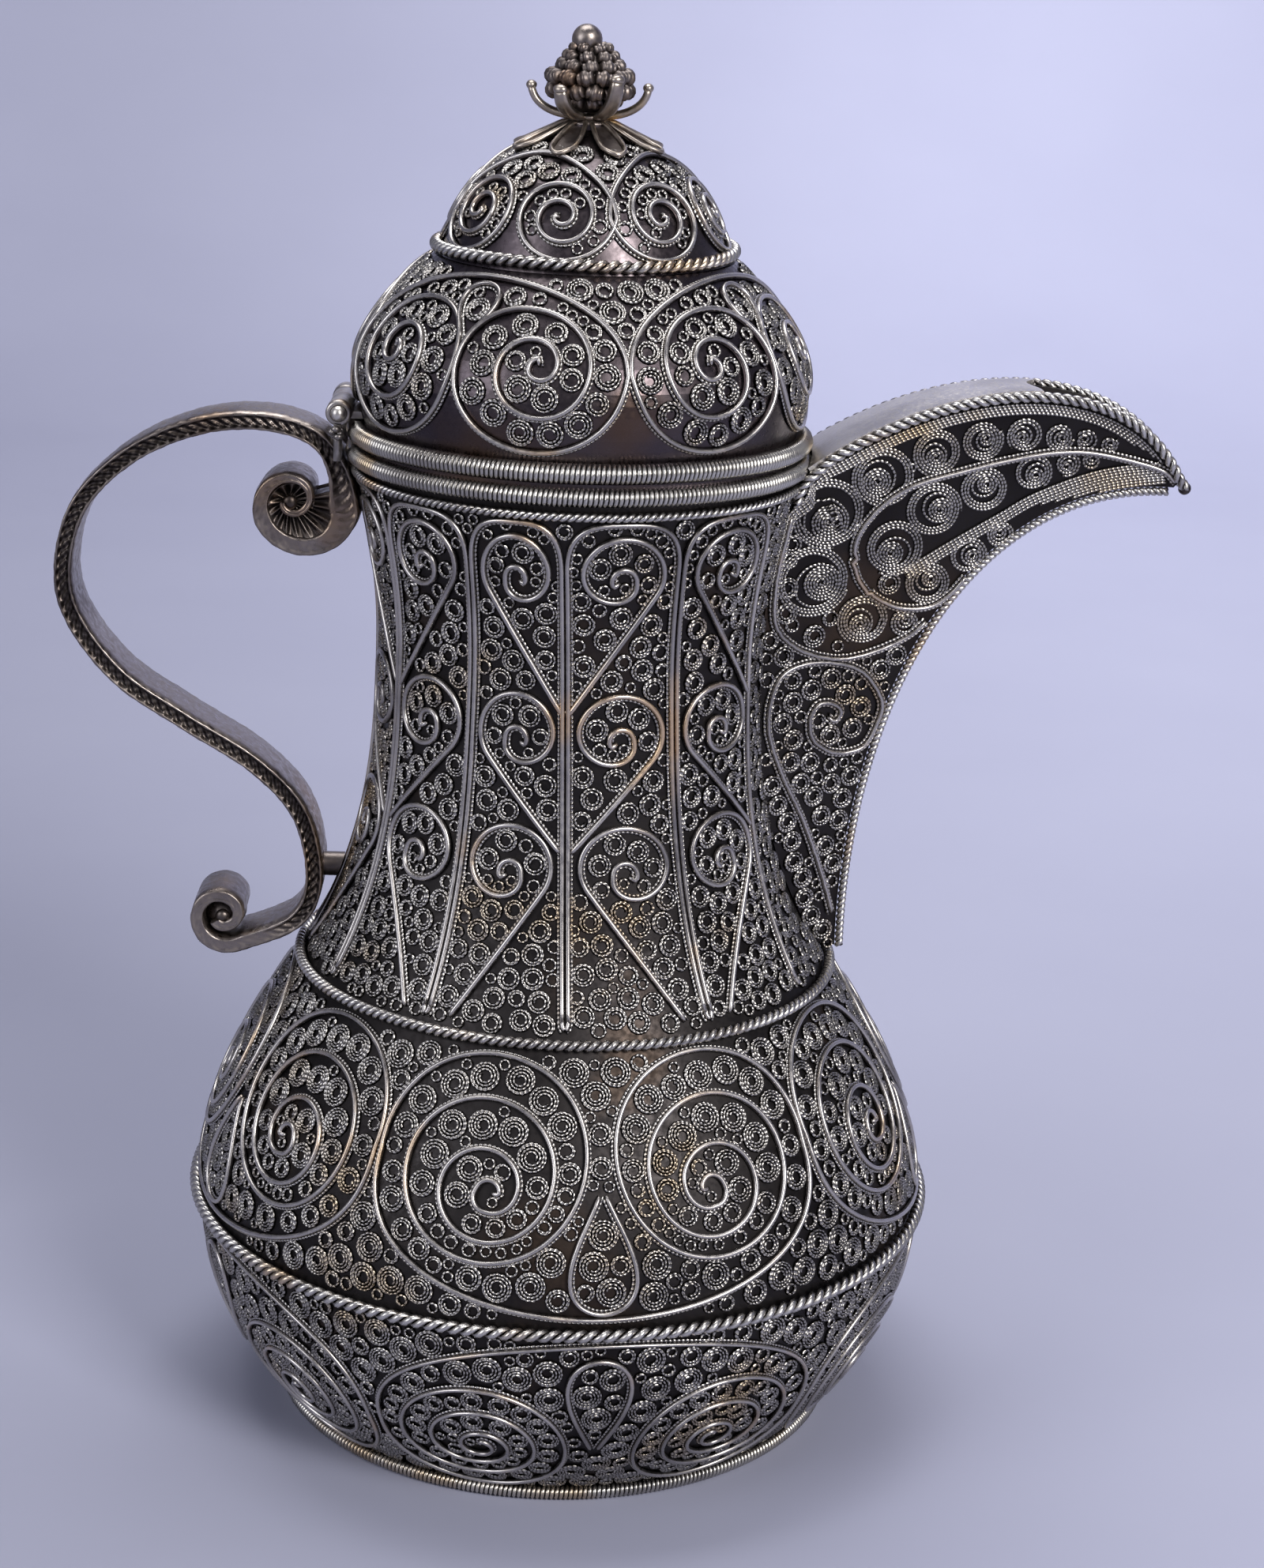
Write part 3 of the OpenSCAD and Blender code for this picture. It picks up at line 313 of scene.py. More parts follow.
# %% Tarnish group
tarnish, given, made = new_group("tarnish", {"Vector": None, "Patch": 60.0, "Grain": 900.0},
                                 "Dark", "Warm", "Fine")
shifted = node(tarnish, "ShaderNodeMapping", {"Vector": given.outputs["Vector"]},
               Location=(0.31, 0.17, 0.23))
for mask, at, scale, detail, low, high in (("Dark", given, "Patch", 5, 0.46, 0.68),
                                           ("Warm", shifted, "Patch", 4, 0.55, 0.72),
                                           ("Fine", given, "Grain", 3, 0.3, 0.75)):
    cloud = node(tarnish, "ShaderNodeTexNoise",
                 {"Vector": at.outputs["Vector"], "Scale": given.outputs[scale]}, Detail=detail)
    tarnish.links.new(scaled(tarnish, cloud.outputs["Fac"], low, high), made.inputs[mask])
print("group:", tarnish.name)

# %% [markdown]
# Twisted and wound wire carries its pattern along itself. The UV map holds the
# distance along the wire in millimetres and the place round its section, so a
# slanted stripe in UV is a true helix on the metal: bright on each crest, with painted
# shade in each groove. Each section's top has the place 0.5, so the same group also paints
# shade on the wire's foot, next to the sheet. Its mask serves both colour and height.

# %% Twist group
twist, given, made = new_group("twist", {"Pitch": 0.5, "Slant": 1.0, "Sharp": 1.4}, "Crest")
wire_map = node(twist, "ShaderNodeUVMap", uv_map="wire")
place = node(twist, "ShaderNodeSeparateXYZ", {"Vector": wire_map.outputs["UV"]}).outputs
turns = maths(twist, "DIVIDE", place["X"], given.outputs["Pitch"])
lean = maths(twist, "MULTIPLY", place["Y"], given.outputs["Slant"])
wave = maths(twist, "SINE", maths(twist, "MULTIPLY", maths(twist, "ADD", turns, lean), math.pi))
crest = maths(twist, "POWER", maths(twist, "ABSOLUTE", wave), given.outputs["Sharp"])
from_top = maths(twist, "ABSOLUTE", maths(twist, "MULTIPLY_ADD", place["Y"], 2.0, -1.0))
# painted shade: this mask is 1 on the section's top and 0 at the wire's foot, where the colour turns to the
# painted shade of the grooves
top = scaled(twist, from_top, 0.25, 0.68, (1.0, 0.0))
twist.links.new(maths(twist, "MULTIPLY", crest, top), made.inputs["Crest"])
print("group:", twist.name)

# %% [markdown]
# Each finish is one Principled shader with full metal. What sets the finishes apart
# is how dark the painted shade in the grooves and hollows is, how warm the patches are, and how rough the
# skin is.


# %% Silver finishes
def silver(name, bright, dull, warm, rough, wear=0.7, patch=60.0, grain=900.0, bump=0.02,
           stripe=None, groove_shade=(0.05, 0.043, 0.038), hollow=None):
    """A metal finish: bright metal, dulled by the tarnish mask and warmed by the warm mask.

    stripe = (pitch in mm, slant, sharpness, height in mm) adds a helix of crests and grooves;
    groove is the painted shade in its grooves and at the wire's foot; hollow is the painted shade
    in the piece's own sunk places, which its attribute "hollow" marks."""
    material = bpy.data.materials.new(name)
    material.use_nodes = True
    tree = material.node_tree
    shader = tree.nodes["Principled BSDF"].inputs
    shader["Metallic"].default_value = 1.0
    at = node(tree, "ShaderNodeTexCoord")
    age = node(tree, "ShaderNodeGroup", node_tree=tarnish)
    tree.links.new(at.outputs["Object"], age.inputs["Vector"])
    age.inputs["Patch"].default_value, age.inputs["Grain"].default_value = patch, grain
    colour = mixed(tree, maths(tree, "MULTIPLY", age.outputs["Dark"], wear), bright, dull)
    colour, height = mixed(tree, age.outputs["Warm"], colour, warm), age.outputs["Fine"]
    if stripe:
        helix = node(tree, "ShaderNodeGroup", node_tree=twist)
        for label, value in zip(("Pitch", "Slant", "Sharp"), stripe):
            helix.inputs[label].default_value = value
        height = helix.outputs["Crest"]
        # painted shade: in the grooves and at the wire's foot the colour turns to the dark groove colour
        colour = mixed(tree, height, groove_shade, colour)
    # painted shade: the hollow colour is mixed in where the piece's attribute marks its sunk places
    if hollow:
        sunk = node(tree, "ShaderNodeAttribute", attribute_name="hollow")
        colour = mixed(tree, sunk.outputs["Fac"], colour, hollow)
    tree.links.new(colour, shader["Base Color"])
    tree.links.new(scaled(tree, age.outputs["Fine"], to=rough, ease="LINEAR"), shader["Roughness"])
    relief = node(tree, "ShaderNodeBump", {"Height": height})
    relief.inputs["Strength"].default_value = 0.6 if stripe else 0.35
    relief.inputs["Distance"].default_value = (stripe[3] if stripe else bump) * MM
    tree.links.new(relief.outputs["Normal"], shader["Normal"])
    return material


FLAT_WIRE = silver("flat_wire_silver", (0.44, 0.415, 0.4), (0.18, 0.165, 0.16), (0.58, 0.43, 0.29),
                   (0.26, 0.44), patch=45.0)
# the twisted wire's finish paints shade into the grooves of its helix and at each wire's foot
TWISTED = silver("twisted_wire_silver", (0.52, 0.495, 0.47), (0.2, 0.185, 0.175), (0.5, 0.4, 0.28),
                 (0.26, 0.42), wear=0.5, patch=40.0, stripe=(0.78, 1.0, 0.8, 0.2),
                 groove_shade=(0.03, 0.026, 0.025))
# tarnish and painted shade: this sheet is far darker than the bare sheet of the lid, so that the gaps between
# the wires also read as shade
SHEET_TARNISH_AND_SHADE = silver("tarnished_and_shaded_sheet", (0.028, 0.025, 0.025), (0.015, 0.013, 0.014), (0.05, 0.036, 0.028),
               (0.4, 0.62), patch=35.0)
BARE = silver("bare_tarnished_silver", (0.075, 0.062, 0.066), (0.035, 0.028, 0.038), (0.08, 0.052, 0.04),
              (0.24, 0.42), patch=28.0)
# the rope's stripe has no slant and no sharpness, so only the painted shade at each strand's foot is left
ROPE = silver("rope_silver", (0.54, 0.52, 0.5), (0.24, 0.22, 0.21), (0.5, 0.38, 0.26),
              (0.26, 0.42), patch=50.0, stripe=(1.0, 0.0, 0.0, 0.1), groove_shade=(0.06, 0.05, 0.045))
# the coil's finish paints shade at the edges of each turn of the winding, the foot of its section
COIL = silver("coil_silver", (0.5, 0.48, 0.45), (0.22, 0.2, 0.19), (0.46, 0.36, 0.25),
              (0.26, 0.42), patch=50.0, stripe=(1.0, 0.0, 0.0, 0.2), groove_shade=(0.02, 0.017, 0.016))
# the cast finish paints shade into the handle's notched channels, fluted shell and scroll eyes through its
# hollow colour
CAST = silver("cast_silver", (0.26, 0.225, 0.205), (0.09, 0.072, 0.068), (0.26, 0.18, 0.12),
              (0.26, 0.5), patch=40.0, bump=0.05, wear=0.9, hollow=(0.03, 0.024, 0.022))
PLATE = silver("scraped_plate_silver", (0.6, 0.57, 0.54), (0.34, 0.32, 0.31), (0.5, 0.42, 0.33),
               (0.3, 0.5), patch=55.0, grain=1400.0, bump=0.04)
PETAL = silver("gilt_petal_silver", (0.38, 0.33, 0.285), (0.13, 0.105, 0.09), (0.42, 0.29, 0.15),
               (0.3, 0.48), patch=150.0)
FITTING = silver("hinge_silver", (0.44, 0.41, 0.39), (0.14, 0.125, 0.12), (0.34, 0.26, 0.19),
                 (0.3, 0.5), patch=160.0)
DARK = silver("blackened_silver", (0.17, 0.145, 0.135), (0.05, 0.042, 0.042), (0.15, 0.1, 0.07),
              (0.35, 0.55), patch=90.0)
print("finishes:", len(bpy.data.materials))

# %% [markdown]
# ## Camera, floor and light
#
# The camera stands a little above the pot and looks down at it from its side, with the
# spout to the right. A pale floor runs back into an upright backdrop in one curve, as
# a roll of studio paper does, so that there is no corner behind the pot.

# %% Camera
EYE = (0.0, -0.534896, 0.282301)
PITCH, YAW, ROLL = 0.30009, 0.02097, 0.03493
FOCAL = 3913.74 * 36 / 1600

ahead = np.array([math.sin(YAW) * math.cos(PITCH), math.cos(YAW) * math.cos(PITCH), -math.sin(PITCH)])
right = unit(np.cross(ahead, [0, 0, 1]))
above = np.cross(right, ahead)
right, above = (right * math.cos(ROLL) + above * math.sin(ROLL),
                -right * math.sin(ROLL) + above * math.cos(ROLL))
lens = bpy.data.cameras.new("camera")
lens.sensor_fit, lens.sensor_width, lens.lens = "HORIZONTAL", 36.0, FOCAL
camera = bpy.data.objects.new("camera", lens)
pose = np.eye(4)
pose[:3] = np.stack([right, above, -ahead, EYE], -1)
camera.matrix_world = Matrix(pose.tolist())
scene.collection.objects.link(camera)
scene.camera = camera
scene.view_settings.view_transform = "Standard"
print("camera lens:", round(lens.lens, 2))

# %% Lilac paper
PAPER = bpy.data.materials.new("lilac_paper")
PAPER.use_nodes = True
paper_tree = PAPER.node_tree
paper_at = node(paper_tree, "ShaderNodeTexCoord").outputs["Object"]
paper_cloud = node(paper_tree, "ShaderNodeTexNoise", {"Vector": paper_at}, Scale=6.0, Detail=6.0)
paper_tint = node(paper_tree, "ShaderNodeValToRGB", {"Fac": paper_cloud.outputs["Fac"]})
for stop, where, colour in zip(paper_tint.color_ramp.elements, (0.3, 0.7),
                               ((0.455, 0.465, 0.61, 1), (0.485, 0.495, 0.64, 1))):
    stop.position, stop.color = where, colour
paper_place = node(paper_tree, "ShaderNodeSeparateXYZ", {"Vector": paper_at}).outputs
# painted light: the paper's colour is darkened towards the left and towards the front, and brightened towards
# the back, as the lamps' light falls off
paper_side_shade = scaled(paper_tree, paper_place["X"], -0.3, 0.25, (0.62, 1.0))
paper_depth_light = scaled(paper_tree, paper_place["Y"], -0.2, 1.3, (0.7, 1.25))
paper_painted_light = maths(paper_tree, "MULTIPLY", paper_side_shade, paper_depth_light)
paper_shade = node(paper_tree, "ShaderNodeVectorMath", {0: paper_tint.outputs["Color"], "Scale": paper_painted_light},
                   operation="SCALE")
paper_shader = paper_tree.nodes["Principled BSDF"].inputs
paper_tree.links.new(paper_shade.outputs["Vector"], paper_shader["Base Color"])
paper_shader["Roughness"].default_value = 0.7


# %% Floor and backdrop
def paper(name, front, back, wide, tall, bend):
    """A sheet of paper: flat from front to back, a quarter circle of radius bend, then upright."""
    turn = np.linspace(0, np.pi / 2, 17)
    curve = np.stack([back + bend * np.sin(turn), bend - bend * np.cos(turn)], -1)
    side = np.concatenate([[[front, 0]], curve, [[back + bend, tall]]])
    x = np.linspace(-wide, wide, 9)
    verts, quads, _, _ = grid(np.stack(np.broadcast_arrays(x, side[:, :1], side[:, 1:]), -1), flip=True)
    mesh = bpy.data.meshes.new(name)
    mesh.from_pydata(verts.tolist(), [], quads.tolist())
    mesh.polygons.foreach_set("use_smooth", [True] * len(quads))
    mesh.materials.append(PAPER)
    obj = bpy.data.objects.new(name, mesh)
    scene.collection.objects.link(obj)


paper("floor_paper", -3.0, 0.9, 3.0, 2.6, 0.5)


# %% Soft boxes and room light
def soft_box(name, place, target, wide, tall, watts, colour=(1, 1, 1)):
    """A rectangular area light at place, facing target."""
    light = bpy.data.lights.new(name, "AREA")
    light.shape, light.size, light.size_y = "RECTANGLE", wide, tall
    light.energy, light.color = watts, colour
    obj = bpy.data.objects.new(name, light)
    obj.rotation_euler = (Vector(place) - Vector(target)).to_track_quat("Z", "Y").to_euler()
    obj.location = place
    scene.collection.objects.link(obj)


soft_box("key_box", (0.75, -1.1, 0.95), (0, 0, 0.12), 0.5, 0.7, 23, (1, 0.985, 0.96))
soft_box("fill_box", (-1.1, -0.8, 0.7), (0, 0, 0.12), 0.8, 0.9, 9, (0.93, 0.95, 1))
soft_box("top_box", (-0.1, 0.35, 1.5), (0, 0.1, 0.1), 1.0, 0.8, 16)
room = bpy.data.worlds.new("room")
room.use_nodes = True
sky = room.node_tree.nodes["Background"].inputs
sky["Color"].default_value, sky["Strength"].default_value = (0.62, 0.63, 0.76, 1), 0.4
scene.world = room


# %% [markdown]
# ## Wound coils
#
# The foot, the rim and the lid are each finished with a coil: thin wire wound
# tightly round a core, then bent into a ring and soldered on. The winding is a true
# helix here, a thin tube that goes round the core once in every 0.82 mm, so its
# edges catch the light as the real one's do. A dark core closes the gaps.


# %% Coil
def band_circle(r, z, n, wave=None):
    """A ring (n, 3) of radius r at height z, its outward vectors and its angles. wave(turn) lifts it."""
    turn = np.linspace(0, 2 * np.pi, n, endpoint=False)
    out = np.stack([np.cos(turn), np.sin(turn), 0 * turn], -1)
    lift = wave(turn) if wave else 0 * turn
    return out * r + np.array([0, 0, 1]) * (z + lift)[:, None], out, turn


COIL_PITCH, COIL_STEPS = 0.82, 10


def coil(r, z, d, wave=None):
    """Winding: centre + (out cos w + up sin w) (d - wire) / 2 with w the angle round the core.
    Its tube is round on the outside. A ten-sided ring inside it is the core."""
    turns = round(2 * np.pi * r / COIL_PITCH)
    wire = COIL_PITCH * 0.98
    centre, out, turn = band_circle(r, z, turns * COIL_STEPS, wave)
    ray = around(out, np.array([0, 0, 1.0]), turn * turns)
    section = np.array([[wire / 2, -wire * 0.3], [wire * 0.36, wire * 0.2], [0, wire * 0.5],
                        [-wire * 0.36, wire * 0.2], [-wire / 2, -wire * 0.3]])
    core, core_out, _ = band_circle(r, z, 240, wave)
    return [sweep(centre + ray * (d - wire) / 2, ray, section, closed=True),
            sweep(core, core_out, circle_section(d - wire * 1.75, 10), closed=True)]


def dent(size, *waves):
    """A handmade ring's wander: a few slow sine waves (count, phase in degrees) added together."""
    return lambda turn: size * sum(np.sin(count * turn + math.radians(phase)) for count, phase in waves)


COIL_D = 2.6
foot_z = COIL_D / 2 + 0.05
for name, rung, body, replaced in (
        ("foot_winding", coil(float(radius(BELLY, foot_z)) + 2.1, foot_z, COIL_D), "pot", "foot_coil"),
        ("rim_winding", coil(39.35, 177.15, 3.2, dent(0.3, (1, 180))), "pot", "rim_coil"),
        ("lid_winding", coil(39.05, 180.95, 3.5, dent(0.4, (1, 180))), "lid", "lid_coil")):
    piece(name, rung, body, "wound_wire", COIL, replaced)

# %% [markdown]
# ## Twisted ropes
#
# Rope bands hide each seam of the sheet. A rope is two strands of wire twisted about
# each other, so each strand is a helix round the band's ring, half a turn from the
# other. The slanting beads come from the shape itself.


# %% Rope
STRAND_SIDES, STRAND_SWELL = 6, 1.12


def rope_along(path, out, up, d, pitch, closed=True, steps=14):
    """Two strands: path + (out cos w + up sin w) d / 4, with w = run / pitch turns, and half a turn
    more for the second. They are d / 2 thick, and a little more so that they sink into each other."""
    run = run_length(path)
    total = run[-1] + (np.linalg.norm(path[0] - path[-1]) if closed else 0)
    turns = max(1, round(total / pitch))
    at = np.linspace(0, total, turns * steps, endpoint=not closed)
    if closed:
        run = np.append(run, total)
        path, out, up = (np.concatenate([v, v[:1]]) for v in (path, out, up))
    centre, out, up = (read_at(v, at, run) for v in (path, out, up))
    out, up, parts = unit(out), unit(up), []
    section = circle_section(d / 2 * STRAND_SWELL, STRAND_SIDES)
    for start in (0, 0.5):
        ray = around(out, up, 2 * np.pi * (at / total * turns + start))
        parts.append(sweep(centre + ray * d / 4, unit(ray), section, closed=closed))
    return parts


def band_rope(name, line, z, d, pitch, body, replaced, wave=None):
    """A rope that lies on the sheet round a whole ring, at height z."""
    at, _ = on_sheet(line, np.zeros(1), np.full(1, z), d / 2 + 0.12)
    ring, out, _ = band_circle(at[0, 0], at[0, 2], 720, wave)
    up = np.broadcast_to([0, 0, 1.0], ring.shape)
    piece(name, rope_along(ring, out, up, d, pitch), body, "wound_wire", ROPE, replaced)


band_rope("belly_twist", BELLY, 40.5, 2.3, 4.4, "pot", "belly_rope", dent(0.15, (3, 10), (2, 70)))
band_rope("shoulder_twist", NECK, 84.5, 2.0, 3.3, "pot", "shoulder_rope", dent(0.12, (3, 80), (2, 0)))
band_rope("neck_twist", NECK, 174.3, 1.5, 2.6, "pot", "neck_rope")
band_rope("lid_twist", CAP, 212.84, 2.2, 4.0, "lid", "lid_rope", dent(0.12, (3, 50), (2, 20)))

# %% [markdown]
# ## Flat wire
#
# The scrolls are round wire rolled flat and set on edge. Its top is rubbed smooth
# over the years, so the section has six corners: straight sides and a rounded top.
# A fine twisted wire is soldered along one side of every flat wire.

# %% Wire sections
WIRE_LIFT, WIRE_H, TWIST_D = 0.24, 0.85, 0.46


def flat_section(w):
    """Corners across and away: a foot, two straight sides and a crowned top."""
    h, lift = WIRE_H, WIRE_LIFT
    return np.array([[-w / 2, lift], [w / 2, lift], [w / 2, lift + h * 0.62], [w * 0.3, lift + h * 0.94],
                     [0, lift + h], [-w * 0.3, lift + h * 0.94], [-w / 2, lift + h * 0.62]])


def resample(shape, step):
    """A flat drawing (n, 2) walked at even steps, so that every bend has enough points."""
    run = run_length(shape)
    at = np.linspace(0, run[-1], max(3, int(run[-1] / step)))
    return read_at(shape, at, run)


def rounded_ends(n):
    """Scale along a wire that closes its last few rings, as a filed end does."""
    scale = np.ones(n)
    for k, size in enumerate((0.55, 0.85, 0.97)):
        scale[k] = scale[-1 - k] = size
    return scale


WIRES = {"body": [], "lid": []}


def clear_runs(track, foot, w):
    """Runs of points of a side track that stay clear of the wire they follow, as in a tight eye."""
    step = 3 if len(track) > 60 else 1
    gap = np.linalg.norm(track[:, None] - foot[None, ::step], axis=-1).min(1)
    good = gap > w / 2 + TWIST_D * 0.3
    edges = np.flatnonzero(np.diff(np.concatenate([[0], good.astype(int), [0]])))
    return [np.arange(a, b) for a, b in zip(edges[::2], edges[1::2]) if b - a > 3]


def lay_wire(flat, twisted, line, a, z, w, way, group="body", ends=True):
    """Adds to flat a flat wire along angles a and heights z on a sheet, and to twisted the twisted
    wire on its side way (+1 is tangent x normal). Keeps the wire's track and half-width, so that
    the rosettes can be packed clear of it."""
    foot, up = on_sheet(line, a, z)
    flat.append(sweep(foot, up, flat_section(w), scale=rounded_ends(len(a)) if ends else None))
    side = unit(np.cross(unit(np.gradient(foot, axis=0)), up))
    track = foot + side * way * (w / 2 + TWIST_D * 0.46) + up * (TWIST_D / 2 + 0.08)
    for run in clear_runs(track, foot, w):
        twisted.append(sweep(track[run], up[run], circle_section(TWIST_D, 5)))
    WIRES[group].append((foot, w / 2 + TWIST_D * 0.4))


def smooth(t):
    """Smoothstep: 0 below 0, 1 above 1, 3t^2 - 2t^3 between."""
    t = np.clip(t, 0, 1)
    return t * t * (3 - 2 * t)


print("flat wire corners:", len(flat_section(0.85)))

# %% [markdown]
# ## Neck: ribs and arches
#
# Twelve arched panels stand round the neck. Each is one wire: up one side, over the
# arch and down the other. Neighbours share a hairpin at the foot. Set by hand, the
# ribs lean a little, so their angles come from a short table for foot and head.

# %% Neck ribs
RIB_AT = np.array([-150, -120, -90, -60, -30, 0, 30, 60, 90, 120, 150, 180.0])
RIB_FOOT = np.array([0.6, -0.8, 0.5, -1.3, -0.4, 0.4, 2.6, 3.0, 0, -0.7, 0.6, 0.3])
RIB_HEAD = np.array([-0.7, 0.4, -0.3, 1.4, 1.5, -3.4, -2.2, 0.6, 0, 0.5, -0.8, -0.4])
RIB_W, RIB_GAP, RIB_FOOT_Z, ARCH_Z = 0.8, 0.5, 86.9, 172.9
HAIRPIN, ARCH_RISE, PANEL_A = 1.2, 8.5, 15


def leaning(a, z):
    """Angle on the neck with the ribs' lean: a + the shifts of foot and head, mixed by height."""
    turn = np.asarray(a) - FRONT
    share = np.clip((np.asarray(z) - 88) / 84, 0, 1)
    foot = np.interp(turn, RIB_AT, RIB_FOOT, period=360)
    head = np.interp(turn, RIB_AT, RIB_HEAD, period=360)
    return a + foot * (1 - share) + head * share


def panel_outline(a0):
    """One panel's wire: hairpin foot, side, arch, side, hairpin foot, as angles and heights."""
    z = np.linspace(RIB_FOOT_Z + HAIRPIN, ARCH_Z - ARCH_RISE, 60)
    gap = np.degrees(RIB_GAP / radius(NECK, z))
    turn = np.radians(np.linspace(0, 180, 31))[1:-1]
    round_a = a0 - (PANEL_A - gap[-1]) * np.sign(np.cos(turn)) * np.abs(np.cos(turn)) ** 0.62
    round_z = ARCH_Z - ARCH_RISE + ARCH_RISE * np.sin(turn) ** 0.8
    hook = np.radians(np.linspace(8, 90, 6))
    foot_a = np.degrees(RIB_GAP / radius(NECK, RIB_FOOT_Z)) * np.sin(hook)
    foot_z = RIB_FOOT_Z + HAIRPIN * (1 - np.cos(hook))
    off = np.concatenate([foot_a, gap])
    a = np.concatenate([a0 - PANEL_A + off, round_a, a0 + PANEL_A - off[::-1]])
    return a, np.concatenate([foot_z, z, round_z, z[::-1], foot_z[::-1]])


def beside_spout(a):
    """Whether an angle lies in the part of the neck that the spout covers."""
    return np.abs((a + 540) % 360 - 180) < 18


PANELS = [FRONT + 15 + 30 * k for k in range(12) if not beside_spout(FRONT + 15 + 30 * k)]
rib_wires, rib_twists = [], []
for a0 in PANELS:
    a, z = panel_outline(a0)
    lay_wire(rib_wires, rib_twists, NECK, leaning(a, z), z, RIB_W, 1, ends=False)
piece("neck_arches", rib_wires, "pot", "scroll_wire", FLAT_WIRE, "neck_ribs")

# %% [markdown]
# ## Neck: commas
#
# Three commas fill each panel, one above the other. A comma is a straight tail, a
# round head and a hook that curls in to a small open eye.


# %% Neck commas
COMMA_W, COMMA_EYE, COMMA_END, COMMA_SINK = 0.85, 2.0, 575, -0.9


def comma(r, lean, tail):
    """Tail at an angle, head of radius r, then rho = r + (eye - r) smooth((turn - 165) / 200),
    while the middle sinks."""
    turn = np.linspace(-lean, COMMA_END, 110)
    inwards = smooth((turn - 165) / 200)
    rho = r + (COMMA_EYE - r) * inwards
    angle = np.radians(turn)
    head = np.stack([-rho * np.cos(angle), rho * np.sin(angle) + COMMA_SINK * inwards], -1)
    lead = math.radians(-lean)
    away = np.array([math.sin(-lead), -math.cos(lead)])
    straight = head[0] + away * np.linspace(tail, 0.4, 24)[:, None]
    end = head[-1] + (np.array([[0.0, COMMA_SINK]]) - head[-1]) * np.array([[0.3], [0.62]])
    return resample(np.concatenate([straight, head, end]), 0.55)


COMMA_ROWS = [(163.9, 6.6, 33, 26, 1), (135.6, 6.9, 41, 21, 1), (112.4, 7.2, 32, 26, -1)]
comma_wires = []
for k, a0 in enumerate(PANELS):
    way = -1 if round((a0 - FRONT - 15) / 30) % 2 == 0 else 1
    for z0, r, lean, tail, side in COMMA_ROWS:
        shape = comma(r, lean, tail) * [way * side, 1]
        a, z = lay(NECK, a0, z0, shape)
        lay_wire(comma_wires, rib_twists, NECK, leaning(a, z), z, COMMA_W, way * side)
piece("neck_commas", comma_wires, "pot", "scroll_wire", FLAT_WIRE, "neck_scrolls")
piece("neck_side_twists", rib_twists, "pot", "wound_wire", TWISTED)

# %% [markdown]
# ## Belly: medallions
#
# One long wire makes a pair of medallions: it winds out of one eye, runs round the
# foot of the pair and winds in to the other eye. Five pairs go round the belly. The
# silversmith gave the front pair more room, so the angles are spread towards it.


# %% Belly medallions
def spread(a):
    """a + 3.4 sin(a - pair's middle): the pairs stand wider apart towards the front."""
    return a + 3.4 * np.sin(np.radians(a - PAIR_FRONT))


OUTER_R, INNER_R, EYE_R, EYE_AT = 18.0, 3.15, 1.9, (0.9, -4.1)
WIND_IN, LAST_TURN, BELLY_W = 990, 1270, 0.78


def medallion():
    """rho falls from the outer to the inner radius as (turn / WIND_IN)^1.15, then to an even ring
    for the eye; the middle moves on the way in. It starts on the left and turns over the top."""
    turn = np.linspace(0, LAST_TURN, 330)
    wound = np.minimum(turn / WIND_IN, 1)
    rho = OUTER_R + (INNER_R - OUTER_R) * wound ** 1.15 - (INNER_R - EYE_R) * smooth((turn - WIND_IN) / 120)
    moved, angle = smooth(turn / WIND_IN), np.radians(turn)
    spiral = np.stack([EYE_AT[0] * moved - rho * np.cos(angle),
                       1.08 * rho * np.sin(angle) + EYE_AT[1] * moved], -1)
    return closed_eye(spiral, EYE_AT)


def closed_eye(spiral, eye):
    """A spiral with two more points on the way to its eye."""
    return np.concatenate([spiral, spiral[-1] + (np.array(eye) - spiral[-1]) * [[0.35], [0.7]]])


def mirrored_pair(a0, a, z, foot_z, steps, even=None):
    """The wire of a pair: from the right eye out, by a quarter arch to the middle at foot_z, and the
    same on the left. a and z are the right-hand spiral; even sets an even step."""
    turn = np.radians(np.linspace(0, 86, steps))
    leg = np.stack([a0 + (a[0] - a0) * np.sin(turn), z[0] + (foot_z - z[0]) * np.cos(turn) ** 0.8], -1)
    half = np.concatenate([leg, np.stack([a, z], -1)])
    half = resample(half, even) if even else half
    return np.concatenate([half[::-1], np.stack([2 * a0 - half[1:, 0], half[1:, 1]], -1)]).T


PAIR_FRONT, PAIR_A = FRONT + 7, 72.0
pair_wires, belly_twists = [], []
for k in range(5):
    a0 = PAIR_FRONT + PAIR_A * k
    a, z = mirrored_pair(a0, *lay(BELLY, a0 - 18, 66.5, medallion()), 43.0, 60, even=0.5)
    lay_wire(pair_wires, belly_twists, BELLY, spread(a), z, BELLY_W, 1)
piece("belly_pairs", pair_wires, "pot", "scroll_wire", FLAT_WIRE, "belly_medallions")


# %% Belly drops
def teardrop(half_w, tall):
    """across = 1.4 half_w sin(turn) sin(turn / 2)^1.5 and up = tall / 2 cos(turn). Its ends stand nib
    to each side of the point."""
    turn, nib = np.radians(np.linspace(9, 351, 90)), 0.5
    return np.stack([1.4 * (half_w - nib / 2) * np.sin(turn) * np.sin(turn / 2) ** 1.5
                     + nib * np.cos(turn / 2), tall / 2 * np.cos(turn)], -1)


drop_wires = []
for k in range(5):
    a, z = lay(BELLY, PAIR_FRONT + PAIR_A * k, 53.6, resample(teardrop(5.4, 20), 0.6))
    lay_wire(drop_wires, belly_twists, BELLY, spread(a), z, BELLY_W, 1)
piece("belly_teardrops", drop_wires, "pot", "scroll_wire", FLAT_WIRE, "belly_drops")

# %% [markdown]
# ## Belly: lower cartouches
#
# Under the belly rope each pair is repeated upside down and squashed: an arch over
# the top, two wide spirals below it, and a drop that hangs between them.


